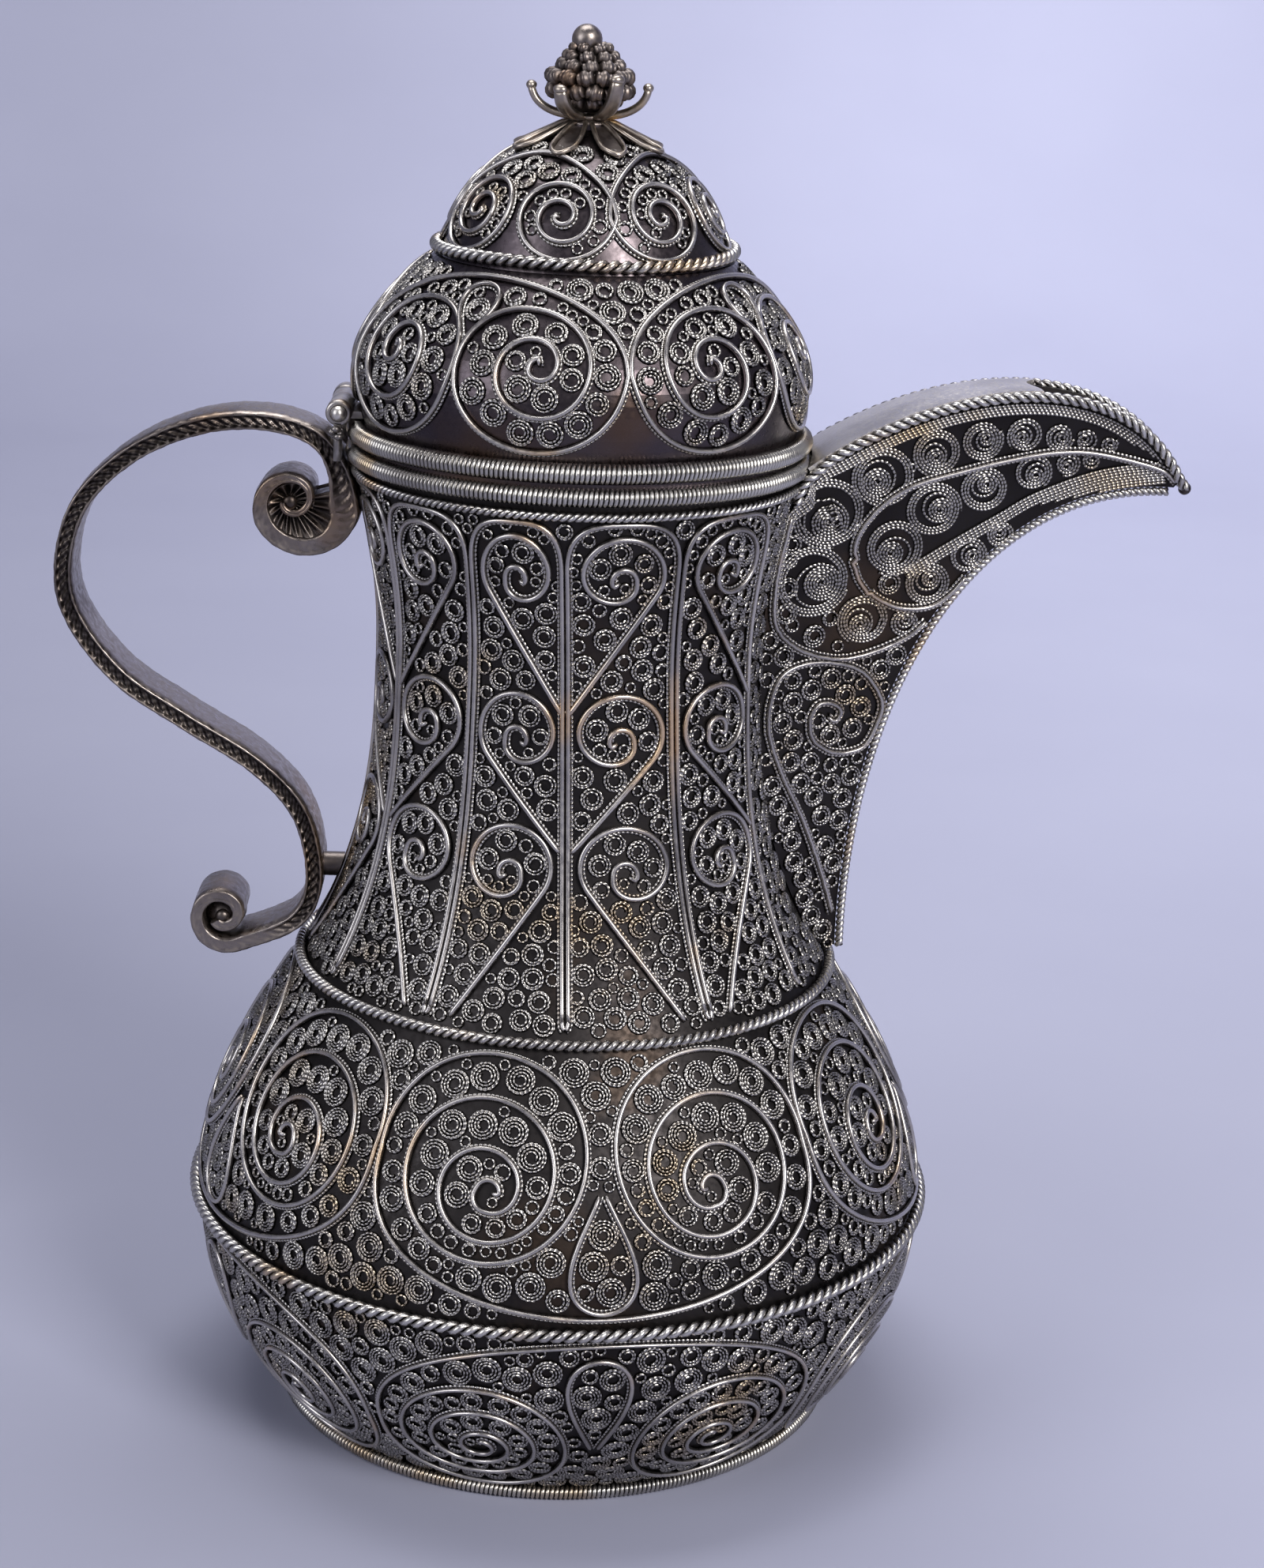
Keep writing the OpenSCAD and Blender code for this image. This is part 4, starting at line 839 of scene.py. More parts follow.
# %% Through knots
def through(at, values, x):
    """A smooth curve through knots: each knot's slope is taken from its two neighbours."""
    at, values = np.asarray(at, float), np.asarray(values, float)
    return hermite(at, values, np.gradient(values, at), x)


def wound(radii, shift):
    """A spiral from a list of radii, one for each quarter turn: it starts on the right, goes
    under, and winds in; its middle moves by shift on the way."""
    last = 90 * (len(radii) - 1)
    turn = np.linspace(0, last, 14 * len(radii))
    rho = through(np.arange(len(radii)) * 90, radii, turn)
    move = smooth(turn / last)[:, None] * np.array(shift)
    t = np.radians(turn)
    return resample(closed_eye(np.stack([rho * np.cos(t), -rho * np.sin(t)], -1) + move, shift), 0.55)


print("through", float(through([0, 1, 2], [0, 1, 4], np.array([1.5]))[0]))


# %% Lower cartouches
def arch_pair(lists, line, a0, centre, radii, top, rise, warp, w, group="body"):
    """A pair under an arch: from the arch's middle at height top, over and down to each spiral's
    outer side, then in to its eye. centre = (angle off a0, height); the eye lies rise higher."""
    a, z = mirrored_pair(a0, *lay(line, a0 + centre[0], centre[1], wound(radii, (0.0, rise))), top, 50)
    lay_wire(*lists, line, warp(a), z, w, 1, group)


def hung_drop(half_w, tall):
    """A teardrop with its point below."""
    return teardrop(half_w, tall) * [1, -1]


CARTOUCHE = [17.2, 15.0, 13.8, 13.6, 13.4, 9.8, 8.8, 8.6, 8.2, 5.4, 4.4, 3.8, 3.2, 2.2, 1.9, 1.9]
low_wires = []
for k in range(5):
    a0 = PAIR_FRONT + 1 + PAIR_A * k
    arch_pair((low_wires, belly_twists), BELLY, a0, (18.6, 16.5), CARTOUCHE, 38.2, -2.0, spread, 0.68)
    a, z = lay(BELLY, a0 - 1, 25.2, resample(hung_drop(5.2, 21), 0.6))
    lay_wire(low_wires, belly_twists, BELLY, spread(a), z, BELLY_W, -1)
piece("belly_cartouches", low_wires, "pot", "scroll_wire", FLAT_WIRE, "lower_cartouches")
piece("belly_side_twists", belly_twists, "pot", "wound_wire", TWISTED)

# %% [markdown]
# ## Lid scrolls
#
# The lower dome carries four pairs and the upper dome four more. Each pair is an
# arch with two spirals under it, and on the lower dome a small drop hangs where the arch is highest.

# %% Lid scrolls
LID_PAIR = FRONT + 11.8 + 45
LOW_LOOP = [14.6, 13.9, 14.5, 9.6, 8.4, 7.9, 6.9, 4.6, 2.9, 1.9, 1.6, 1.5]
CAP_LOOP = [8.9, 7.4, 7.2, 5.6, 4.8, 4.3, 3.9, 2.6, 1.8, 1.4, 1.3]
LOW_AT, CAP_AT, LOW_LID_W, CAP_LID_W = (22.4, 197.2), (22.6, 220.2), 0.78, 0.72
low_lid, cap_lid, lid_twists = [], [], []
for k in range(4):
    a0 = LID_PAIR + 90 * k
    arch_pair((low_lid, lid_twists), LID, a0, LOW_AT, LOW_LOOP, 210.4, 0.8, np.copy, LOW_LID_W, "lid")
    a, z = lay(LID, a0, 205.2, resample(hung_drop(3.4, 11), 0.5))
    lay_wire(low_lid, lid_twists, LID, a, z, CAP_LID_W, -1, "lid")
    arch_pair((cap_lid, lid_twists), CAP, a0, CAP_AT, CAP_LOOP, 229.4, 0.3, np.copy, CAP_LID_W, "lid")
piece("lid_low_scrolls", low_lid, "lid", "scroll_wire", FLAT_WIRE, "lid_lower_scrolls")
piece("lid_cap_scrolls", cap_lid, "lid", "scroll_wire", FLAT_WIRE, "lid_upper_scrolls")
piece("lid_side_twists", lid_twists, "lid", "wound_wire", TWISTED)

# %% [markdown]
# ## Rosettes
#
# Every space between the flat wires is filled with rosettes: short lengths of
# twisted wire rolled into flat coils, the largest that will fit, then smaller ones
# in the gaps. The same rule packs them here. A net of points on the sheet holds each
# point's distance to the nearest wire; a coil goes where one of the size in hand just
# fits, next to the last one laid, and the distances around it are brought up to date.


# %% Packing
ROSE_SIZES = (2.6, 2.3, 2.0, 1.75, 1.5, 1.25, 0.98)
ROSE_WIRE, ROSE_STEPS, NET_STEP = 0.58, 13, 0.3
NEAR_ROWS, NEAR_COLUMNS = 26, 42


def wire_net(line, z0, z1, tracks, edge):
    """Points on the sheet (rows of height, columns of angle) and the free distance at each:
    distance to the nearest track minus that track's half-width, and to the two bands minus edge."""
    lean = np.sqrt(1 + slope(line, np.linspace(z0, z1, 50)) ** 2).mean()
    z = np.linspace(z0, z1, int((z1 - z0) * lean / NET_STEP))
    wide = np.radians(360.0) * radius(line, z).mean()
    aa, zz = np.meshgrid(np.linspace(-180.0, 180.0, int(wide / NET_STEP), endpoint=False), z)
    points, _ = on_sheet(line, aa, zz)
    free = np.full(aa.shape, 9.0)
    for track, half in tracks:
        for p in track[::2]:
            near = np.abs(zz[:, 0] - p[2]) < 5
            d = np.linalg.norm(points[near] - p, axis=-1) - half
            free[near] = np.minimum(free[near], d)
    rows = run_length(points[:, 0])
    free = np.minimum(free, np.minimum(rows, rows[-1] - rows)[:, None] - edge)
    return aa, zz, points, free


def pack(points, free, sizes, seed, sectors=10):
    """Lays discs in the net: for each sector of columns and each size, the free point with the
    smallest spare room nearest to the last disc is taken, until none of that size fits."""
    rng = np.random.default_rng(seed)
    rows, columns = free.shape
    laid = []
    edges = np.linspace(0, columns, sectors + 1).astype(int)
    for lo, hi in zip(edges[:-1], edges[1:]):
        last = points[rows // 2, lo]
        for size in sizes:
            while True:
                part = free[:, lo:hi]
                fits = part >= size
                if not fits.any():
                    break
                r, c = np.nonzero(fits)
                spare = part[r, c] - size
                score = spare * 2.5 + 0.1 * np.linalg.norm(points[r, c + lo] - last, axis=-1) \
                    + rng.uniform(0, 0.05, len(r))
                best = np.argmin(score)
                r, c = r[best], c[best] + lo
                middle = points[r, c]
                disc = min(float(free[r, c]), size * 1.12) + 0.12
                laid.append((r, c, disc))
                near = np.ix_(np.arange(max(0, r - NEAR_ROWS), min(rows, r + NEAR_ROWS + 1)),
                              np.arange(c - NEAR_COLUMNS, c + NEAR_COLUMNS + 1) % columns)
                free[near] = np.minimum(free[near], np.linalg.norm(points[near] - middle, axis=-1) - disc)
                last = middle
    return laid


def rosette(middle, normal, size, start, hole=0.5, way=1):
    """A flat spiral: rho from size - wire / 2 down to hole + wire / 2 by one wire for each turn,
    in the plane across normal. Its section is a triangle with the crest outwards."""
    wire = ROSE_WIRE
    outer, inner = size - wire / 2, min(hole + wire / 2, size - wire / 2)
    turns = max(1.0, (outer - inner) / (wire * 0.98) + 0.9)
    t = np.linspace(0, turns, int(turns * ROSE_STEPS) + 1)
    rho = np.maximum(outer - wire * 0.98 * np.maximum(t - 0.9, 0), inner * 0.98)
    a = unit(np.cross(normal, [0.13, 0.31, 0.94]))
    b = np.cross(normal, a)
    turn = start + way * 2 * np.pi * t
    path = middle + normal * (wire * 0.42 + 0.08) + rho[:, None] * around(a, b, turn)
    section = np.array([[wire / 2, -wire * 0.4], [0, wire * 0.5], [-wire / 2, -wire * 0.4]])
    return sweep(path, normal, section)


def fill_with_rosettes(name, line, z_range, group, body, seed, largest=0, keep=None, sectors=10,
                       edge=0.2, replaced=()):
    """Packs a whole band of the pot and makes its rosettes one piece."""
    aa, zz, points, free = wire_net(line, *z_range, WIRES[group], edge)
    if keep is not None:
        free = np.where(keep(aa, zz), free, -1.0)
    laid = pack(points, free, ROSE_SIZES[largest:], seed, sectors)
    rng = np.random.default_rng(seed + 1)
    parts = []
    for r, c, disc in laid:
        middle, normal = on_sheet(line, aa[r, c][None], zz[r, c][None])
        parts.append(rosette(middle[0], normal[0], disc, rng.uniform(0, 6.28),
                             way=rng.choice([-1, 1]), hole=rng.uniform(0.42, 0.62)))
    print(len(laid), "rosettes, largest", round(max(d for _, _, d in laid), 2), "mm")
    piece(name, parts, body, "wound_wire", TWISTED, *replaced)


def in_a_lid_loop(line, centre, room, floor):
    """Whether a place on the lid lies in a scroll's loop, or above the height floor between them."""
    def keep(a, z):
        near = np.full(np.shape(a), 99.0)
        for k in range(4):
            for side in (-1, 1):
                off = (a - LID_PAIR - 90 * k - side * centre[0] + 540) % 360 - 180
                across = np.radians(off) * radius(line, z)
                up = (z - centre[1]) * math.sqrt(1 + float(slope(line, centre[1])) ** 2)
                near = np.minimum(near, np.hypot(across, up))
        return (near < room) | (z > floor)
    return keep


fill_with_rosettes("upper_belly_rosettes", BELLY, (41.6, 83.6), "body", "pot", 11)
fill_with_rosettes("lower_belly_rosettes", BELLY, (2.4, 39.4), "body", "pot", 12,
                   replaced=["lower_rosettes"])
fill_with_rosettes("neck_rosettes_wire", NECK, (85.4, 173.5), "body", "pot", 13, 2,
                   lambda a, z: ~((np.abs(a) < 14) & (z > 92)), 12, replaced=["neck_rosettes"])
fill_with_rosettes("lid_low_rosettes", LID, (184.0, 211.4), "lid", "lid", 14, 1,
                   in_a_lid_loop(LID, LOW_AT, 14.2, 199.0), 8, 0.3)
fill_with_rosettes("lid_cap_rosettes", CAP, (214.4, 231.0), "lid", "lid", 15, 2,
                   in_a_lid_loop(CAP, CAP_AT, 8.6, 222.0), 8, 0.3)

# %% [markdown]
# ## Spout
#
# The spout is a folded trough: two flat side panels that meet in a keel, open on
# top, with a plate over its first half. A place on a panel is a pair: the station
# along the spout and the share of the way from keel to top edge. Drawings are made
# in the side view, in millimetres, and the panel's own place is then looked up.

# %% Spout panels
MOUTH_Z, RIM_R, HALF_W, TIP_W, NECK_SHARE, FOOT_Z = 175.8, 41.04, 10.4, 0.8, 0.42, 88.0
TIP = np.array([105.6, 175.5])
RUN = TIP[0] - RIM_R
TOP_EDGE = np.array([[RIM_R, MOUTH_Z + 2], [RIM_R + 0.34 * RUN, MOUTH_Z + 17.5],
                     [TIP[0] - 0.17 * RUN, TIP[1] + 22], TIP])
KEEL = np.array([[49.5, 86.9], [48.5, 133.0], [TIP[0] - 0.58 * RUN, TIP[1] + 0.4], TIP - [0.8, 1.2]])


def bezier(points, t):
    """(1 - t)^3 a + 3 (1 - t)^2 t b + 3 (1 - t) t^2 c + t^3 d."""
    t = np.asarray(t, float)[..., None]
    a, b, c, d = points
    return (1 - t) ** 3 * a + 3 * (1 - t) ** 2 * t * b + 3 * (1 - t) * t * t * c + t ** 3 * d


def top_edge(t):
    """The top edge on the +Y side. Its half width is (HALF_W - TIP_W) (1 - t)^0.8 + TIP_W."""
    top = bezier(TOP_EDGE, t)
    return np.stack([top[..., 0], (HALF_W - TIP_W) * (1 - t) ** 0.8 + TIP_W, top[..., 1]], -1)


def panel_edge(s):
    """Edge of the panel on the +Y side: up the neck for the first stations, then along the top."""
    s = np.asarray(s, float)
    t = np.clip(s / NECK_SHARE, 0, 1)
    z = FOOT_Z + (MOUTH_Z + 1 - FOOT_Z) * t
    y = HALF_W * (0.12 + 0.88 * np.sin(np.radians(90 * np.minimum(1, t * 2.2))))
    r = radius(NECK, z) + 0.24
    r = r + (RIM_R - r) * smooth((z - MOUTH_Z + 6) / 3.5)
    up_neck = np.stack([np.sqrt(r * r - y * y), y, z], -1)
    t = np.clip((s - NECK_SHARE) / (1 - NECK_SHARE), 0, 1)
    return np.where((s < NECK_SHARE)[..., None], up_neck, top_edge(t))


def keel_at(s):
    """The keel line, in the middle plane."""
    p = bezier(KEEL, s)
    return np.stack([p[..., 0], 0 * p[..., 0], p[..., 1]], -1)


def on_spout(s, f, off, side):
    """Points off the outside of a panel, and its outward normals. side is +1 or -1 in Y."""
    s, f = np.asarray(s, float), np.asarray(f, float)
    edge, keel = panel_edge(s), keel_at(s)
    run = unit(keel_at(s + 0.01) - keel_at(s - 0.01))
    out = unit(np.cross(run, edge - keel))
    out = out * np.sign(out[..., 1:2])
    point = keel + (edge - keel) * f[..., None] + out * off
    return point * [1, side, 1], out * [1, side, 1]


STATIONS = np.linspace(0.0, 1.0, 900)


def side_place(x, z):
    """Station and share for places (x, z) of the side view: the first station whose line from
    keel to edge passes through the place."""
    keel, edge = keel_at(STATIONS), panel_edge(STATIONS)
    kx, kz = keel[:, 0], keel[:, 2]
    ex, ez = edge[:, 0] - kx, edge[:, 2] - kz
    px, pz = np.asarray(x, float)[:, None] - kx, np.asarray(z, float)[:, None] - kz
    miss = px * ez - pz * ex
    share = (px * ex + pz * ez) / (ex * ex + ez * ez)
    cost = np.abs(miss) / np.hypot(ex, ez) + 4 * np.maximum(0, np.abs(share - 0.5) - 0.52)
    best = np.argmin(cost, axis=1)
    return STATIONS[best], np.clip(share[np.arange(len(best)), best], 0.0, 1.0)


def smooth_through(points, at):
    """A smooth curve through points, read at places counted in points."""
    points = np.asarray(points, float)
    return np.stack([through(np.arange(len(points)), column, at) for column in points.T], -1)


def smooth_path(points, step):
    """A smooth curve through given points, then even steps."""
    return resample(smooth_through(points, np.linspace(0, len(points) - 1, 12 * len(points))), step)


sheet_s = np.linspace(0, 1, 121)
outer_edge, keel_line = panel_edge(sheet_s), keel_at(sheet_s)
wall = np.minimum(0.8, 1.05 / outer_edge[:, 1])[:, None]
inner_edge = outer_edge - np.array([0, 1, 0]) * outer_edge[:, 1:2] * wall
toward = outer_edge - keel_line
depth = np.linalg.norm(toward, axis=1, keepdims=True)
rise = unit(toward * [1, 0, 1])
inner_keel = keel_line + rise * np.minimum(depth / outer_edge[:, 1:2], depth * 0.5)
mirror = np.array([1, -1, 1])
trough = np.stack([keel_line, outer_edge * mirror, inner_edge * mirror,
                   inner_keel, inner_edge, outer_edge], 1)
sheet = piece("spout_sheet", [closed_tube(trough, flip=True)], "pot", "sheet", SHEET_TARNISH_AND_SHADE, "spout_body")
sheet.data.set_sharp_from_angle(angle=math.radians(25))
print("spout depth at the rim:", round(float(depth[50, 0]), 1), "mm")

# %% [markdown]
# The plate over the trough is bare silver, scratched by years of polishing. Its end
# is cut to a shallow fishtail. A thick rope closes each top edge and runs on to
# the beak, and a thinner one covers the keel.

# %% Plate, ropes and beak
PLATE_FIRST, PLATE_END, PLATE_T = 0.006, 0.52, 0.9


def plate():
    """Grid along the top edge and across. It starts on the circle of the rim's coil, and its end line
    is held back in the middle."""
    across = np.linspace(-1, 1, 17)
    along = np.linspace(0, 1, 41)
    first = PLATE_FIRST - 0.022 * across ** 2
    end = PLATE_END + 0.012 - 0.03 * np.cos(across * np.pi / 2) ** 2
    t = first + (end - first)[None] * along[:, None]
    edge = top_edge(t)
    run = unit(bezier(TOP_EDGE, t + 0.01) - bezier(TOP_EDGE, t - 0.01))
    up = np.stack([-run[..., 1], 0 * t, run[..., 0]], -1)
    y = edge[..., 1] * across[None] * 1.03
    crown = 0.35 * (1 - across[None] ** 2)
    low = np.stack([edge[..., 0], y, edge[..., 2]], -1) + up * 0.12
    return slab(low + up * (PLATE_T + crown)[..., None], low)


top_plate = piece("spout_cover_plate", [plate()], "pot", "scroll_wire", PLATE, "spout_top_plate")
top_plate.data.set_sharp_from_angle(angle=math.radians(40))
ROPE_FOOT = np.array([[37.6, 10.2, 171.6], [38.2, 10.4, 173.6], [39.1, 10.5, 175.4]])
ROPE_HOOK = np.array([[105.9, 1.5, 175.6], [106.6, 1.25, 174.3]])
along_top = panel_edge(NECK_SHARE + np.linspace(0.03, 0.985, 90) * (1 - NECK_SHARE))
ropes = []
for side in (-1, 1):
    line = np.concatenate([ROPE_FOOT, along_top]) * [1, side, 1] + np.array([0, side * 1.02, 0.1])
    line = np.concatenate([line, ROPE_HOOK * [1, side, 1]])
    out = np.broadcast_to([0, side, 0.0], line.shape)
    tangent = unit(np.gradient(line, axis=0))
    ropes += rope_along(line, out, np.cross(tangent, out), 1.9, 3.6, closed=False, steps=16)
piece("spout_rim_ropes", ropes, "pot", "wound_wire", ROPE, "spout_edge_ropes")
keel_s = np.linspace(0.0, 0.99, 170)
keel_run = unit(keel_at(keel_s + 0.01) - keel_at(keel_s - 0.01))
keel_out = np.stack([keel_run[:, 2], 0 * keel_s, -keel_run[:, 0]], -1)
keel_rope = rope_along(keel_at(keel_s) + keel_out * 0.8, keel_out, np.cross(keel_run, keel_out),
                       1.6, 2.2, closed=False, steps=10)
piece("keel_twist", keel_rope, "pot", "wound_wire", ROPE, "spout_keel_rope")
piece("beak_bead", [ball(np.array([106.75, 0, 174.2]), 1.15)], "pot", "cast", ROPE, "spout_tip_bead")

# %% [markdown]
# Each side panel is drawn with three flat wires, rows of twisted wire that follow
# the edges to the beak, and big volutes. A volute is wound from one twisted wire:
# a few turns outside, then it swings in to a small coil that touches the wall on
# one side, and leaves a dark crescent on the other.

# %% Flat wires and rows on the spout
SCROLL = [[105.0, 175.6], [101.5, 178.1], [90.4, 180.6], [83.0, 180.7], [74.6, 179.2], [66.8, 177.2],
          [58.6, 174.8], [53.7, 171.8], [50.2, 167.9], [48.5, 164.0], [48.8, 159.2], [50.7, 155.6],
          [54.5, 152.9], [58.4, 151.6], [63.2, 151.9], [66.9, 154.5], [69.0, 157.0]]
BORDER = [[36.9, 169.2], [35.3, 161.9], [34.6, 156.2], [35.0, 149.7], [39.0, 145.2], [45.4, 142.8],
          [50.5, 142.9], [55.4, 144.4], [59.5, 146.4], [62.4, 149.0]]
LOOP = [[48.3, 93.5], [46.0, 101.0], [42.1, 111.8], [37.3, 122.2], [34.6, 130.2], [34.8, 136.3],
        [37.3, 140.9], [43.6, 142.2], [51.0, 140.1], [55.2, 134.2], [54.6, 129.6], [52.2, 125.4],
        [47.2, 124.8], [43.0, 127.6], [42.1, 131.4], [43.5, 134.2], [46.0, 134.3], [47.8, 132.7],
        [46.9, 130.9], [45.4, 131.6]]
BAND = [[57.5, 158.6], [66.1, 164.1], [74.0, 168.9], [80.5, 172.9], [91.0, 177.1], [101.5, 179.0]]
SPOUT_WIRES = {-1: [], 1: []}
FINE_D, EDGE_ROWS, BAND_ROWS = 0.52, 4, 9
spout_flat, spout_twisted = [], []


def spout_wire(s, f, side, section, off, scale=None):
    """A wire along stations and shares of a panel."""
    return sweep(*on_spout(s, f, off, side), section, scale=scale)


fine_wire = circle_section(FINE_D, 5)
for side in (-1, 1):
    for places in (SCROLL, BORDER, LOOP):
        s, f = side_place(*smooth_path(places, 0.45).T)
        spout_flat.append(spout_wire(s, f, side, flat_section(0.72), 0.0, rounded_ends(len(s))))
        foot, up = on_spout(s, f, 0.0, side)
        SPOUT_WIRES[side].append((foot, 0.5))
        tangent = unit(np.gradient(foot, axis=0))
        for way in (-1, 1):
            track = foot + np.cross(tangent, up) * way * 0.62 + up * 0.34
            for run in clear_runs(track, foot, 0.72):
                spout_twisted.append(sweep(track[run], up[run], fine_wire))
    for k in range(EDGE_ROWS):
        s = np.linspace(0.33, 0.955 - 0.02 * k, 220)
        span = np.linalg.norm(panel_edge(s) - keel_at(s), axis=1)
        off = 0.4 + 0.54 * k + 1.0 * smooth((s - 0.4) / 0.06)
        spout_twisted.append(spout_wire(s, 1 - off / span, side, fine_wire, 0.3))
    for k in range(BAND_ROWS):
        x, z = smooth_path(BAND, 0.5).T
        if k > 3:
            x, z = x[x > 70 + 2.5 * k], z[x > 70 + 2.5 * k]
        s, f = side_place(x + 0.26 * k, z - 0.5 * k)
        keep = f > 0.03
        if keep.sum() > 8:
            spout_twisted.append(spout_wire(s[keep], f[keep], side, fine_wire, 0.3))
piece("spout_flat_wires", spout_flat, "pot", "scroll_wire", FLAT_WIRE, "spout_scrolls")
piece("spout_wire_rows", spout_twisted, "pot", "wound_wire", TWISTED)

# %% Volutes and rosettes on the spout
VOLUTES = [(43.4, 169.6, 6.7), (52.7, 176.0, 5.8), (61.9, 180.5, 4.5), (69.8, 182.7, 3.9),
           (77.2, 183.7, 3.4), (83.4, 183.4, 2.8), (88.2, 182.8, 2.2), (92.3, 182.2, 1.8),
           (41.4, 157.3, 6.8), (50.9, 149.6, 4.9), (58.7, 148.7, 2.9), (55.6, 163.0, 5.4),
           (62.2, 170.0, 5.2), (71.0, 173.8, 4.5), (79.4, 176.8, 3.6), (85.4, 178.4, 2.5),
           (89.6, 179.1, 1.9), (62.3, 156.2, 4.4), (69.2, 161.2, 3.6), (74.8, 165.2, 2.8)]
SMALL = [(37.4, 164.2, 1.9), (45.0, 150.2, 1.7), (55.2, 156.3, 2.3), (49.0, 166.6, 1.2),
         (57.6, 177.8, 1.0), (42.2, 147.0, 2.3), (38.0, 149.3, 1.5), (46.6, 144.9, 1.3)]


VOLUTE_WIRE, SWING = 0.5, 0.8


def volute(r, leave, way):
    """Outer turns: rho falls by one pitch for each. Over SWING of a turn rho then falls to 0.68 of the
    wall and the middle moves by (wall - rho) towards leave, so that the inner coil touches the wall;
    it winds on to a small eye."""
    pitch = VOLUTE_WIRE * 1.08
    outside = max(1.0, min(3.0, round(r * 0.36 / pitch)))
    wall = r - VOLUTE_WIRE / 2 - pitch * outside
    inner = wall * 0.68
    turns = outside + SWING + max(0.8, (inner - 0.3) / pitch)
    t = np.linspace(0, turns, int(26 * turns * max(0.6, r / 5)))
    rho = r - VOLUTE_WIRE / 2 - pitch * np.minimum(t, outside) \
        - (wall - inner) * smooth((t - outside) / SWING) - pitch * np.maximum(0, t - outside - SWING)
    turn = leave + way * 2 * np.pi * (t - outside)
    moved = (wall - np.maximum(inner, rho)) * (t > outside)
    middle = moved[:, None] * [math.cos(leave), math.sin(leave)]
    return middle + np.maximum(rho, 0.24)[:, None] * np.stack([np.cos(turn), np.sin(turn)], -1)


ridge = np.array([[0.26, 0.06], [0.2, 0.34], [0, 0.52], [-0.2, 0.34], [-0.26, 0.06]])
rng = np.random.default_rng(21)
spout_volutes = []
for side in (-1, 1):
    for k, (x, z, r) in enumerate(VOLUTES):
        drawn = volute(r, rng.uniform(0, 6.28), -1 if k < 10 else 1)
        s, f = side_place(x + drawn[:, 0], z + drawn[:, 1])
        spout_volutes.append(spout_wire(s, f, side, ridge, 0.0))
    for x, z, r in SMALL:
        s, f = side_place(np.array([x]), np.array([z]))
        middle, normal = on_spout(s, f, 0.0, side)
        spout_volutes.append(rosette(middle[0], normal[0], r, start=rng.uniform(0, 6.28)))
piece("spout_volute_wires", spout_volutes, "pot", "wound_wire", TWISTED)

border = smooth_path(BORDER, 1.0)
border = border[np.argsort(border[:, 0])]
net_s, net_f = np.meshgrid(np.linspace(0.0, 0.44, 330), np.linspace(0.02, 0.99, 60), indexing="ij")
low_roses = []
for side in (-1, 1):
    points, normals = on_spout(net_s, net_f, 0.0, side)
    free = np.full(net_s.shape, 9.0)
    for track, half in SPOUT_WIRES[side]:
        for p in track[::2]:
            free = np.minimum(free, np.linalg.norm(points - p, axis=-1) - half)
    edge_points = panel_edge(net_s[:, 0]) * [1, side, 1]
    free = np.minimum(free, np.linalg.norm(points - edge_points[:, None], axis=-1) - 0.1)
    free = np.minimum(free, np.linalg.norm(points - keel_at(net_s[:, 0])[:, None], axis=-1) - 0.5)
    free[points[..., 2] > np.interp(points[..., 0], *border.T)] = -1
    for r, c, disc in pack(points, free, ROSE_SIZES[2:], 31, sectors=1):
        low_roses.append(rosette(points[r, c], normals[r, c], disc, start=rng.uniform(0, 6.28)))
piece("spout_rosettes", low_roses, "pot", "wound_wire", TWISTED)
# %% [markdown]
# ## Handle
#
# The handle is one cast strap that ends in a scroll at the top and a curl at the
# foot. Each side face is a channel between two thin rims, cut with slanting notches.
# The middle line is found first; then a section is carried along it, and the notches
# are a wave along the path that only moves the channel's floor.

# %% Handle's middle line
WIRES_OUT = WIRE_LIFT + 0.12 + 0.8
HANDLE_W, HANDLE_T, REACH, CURL_R = 12.0, 2.8, 49.3, 5.9
FOOT = np.array([-float(radius(NECK, 100.0)) - WIRES_OUT - 3 - HANDLE_T / 2, 100.0])
HEAD = np.array([-float(radius(NECK, 167.0)) - WIRES_OUT - HANDLE_T / 2 - 0.12, 167.0])
STRAP = np.array([[0.053, -0.14], [0, -0.022], [0.073, 0.161], [0.252, 0.296], [0.523, 0.415],
                  [0.769, 0.531], [0.947, 0.687], [1, 0.828], [0.955, 0.993], [0.787, 1.128],
                  [0.564, 1.206], [0.343, 1.224], [0.154, 1.187], [0.051, 1.099]])


def scroll(centre, radii, start, n, drift=(0, 0)):
    """A clockwise spiral through a radius for each quarter turn, from the angle start. Its middle
    moves by drift on the way in."""
    f = np.linspace(0, len(radii) - 1, n)
    a = np.radians(start - 90 * f)
    middle = np.asarray(centre) + np.array(drift) * smooth(f / f[-1])[:, None]
    rho = through(np.arange(len(radii)), radii, f)[:, None]
    return middle + rho * np.stack([np.cos(a), np.sin(a)], -1)


VOLUTE, DRIFT = (8.7, 6.9, 6.5, 4.6, 2.6, 1.7, 1.2), np.array([-1.9, 0.9])
VOLUTE_AT = HEAD + [-VOLUTE[0], 0]
VOLUTE_START = -4
CURL_AT = FOOT - [2.83 * CURL_R, 9]
strap = FOOT + (HEAD - FOOT) * STRAP[:, 1:] - STRAP[:, :1] * [REACH, 0]
curl = scroll(CURL_AT, (5.9, 4.8, 4.3, 3.2, 1.9, 1.5), -60, 110)
volute_line = scroll(VOLUTE_AT, VOLUTE, VOLUTE_START, 190, DRIFT)
knots = np.concatenate([curl[[6, 0]], strap, volute_line[[0, 6]]])
body_line = smooth_through(knots, np.linspace(1, len(knots) - 2, 600))
middle = resample(np.concatenate([curl[:0:-1], body_line, volute_line[1:]]), 0.22)
run = run_length(middle)
curl_run = float(run[np.argmin(np.linalg.norm(middle - body_line[0], axis=1))])
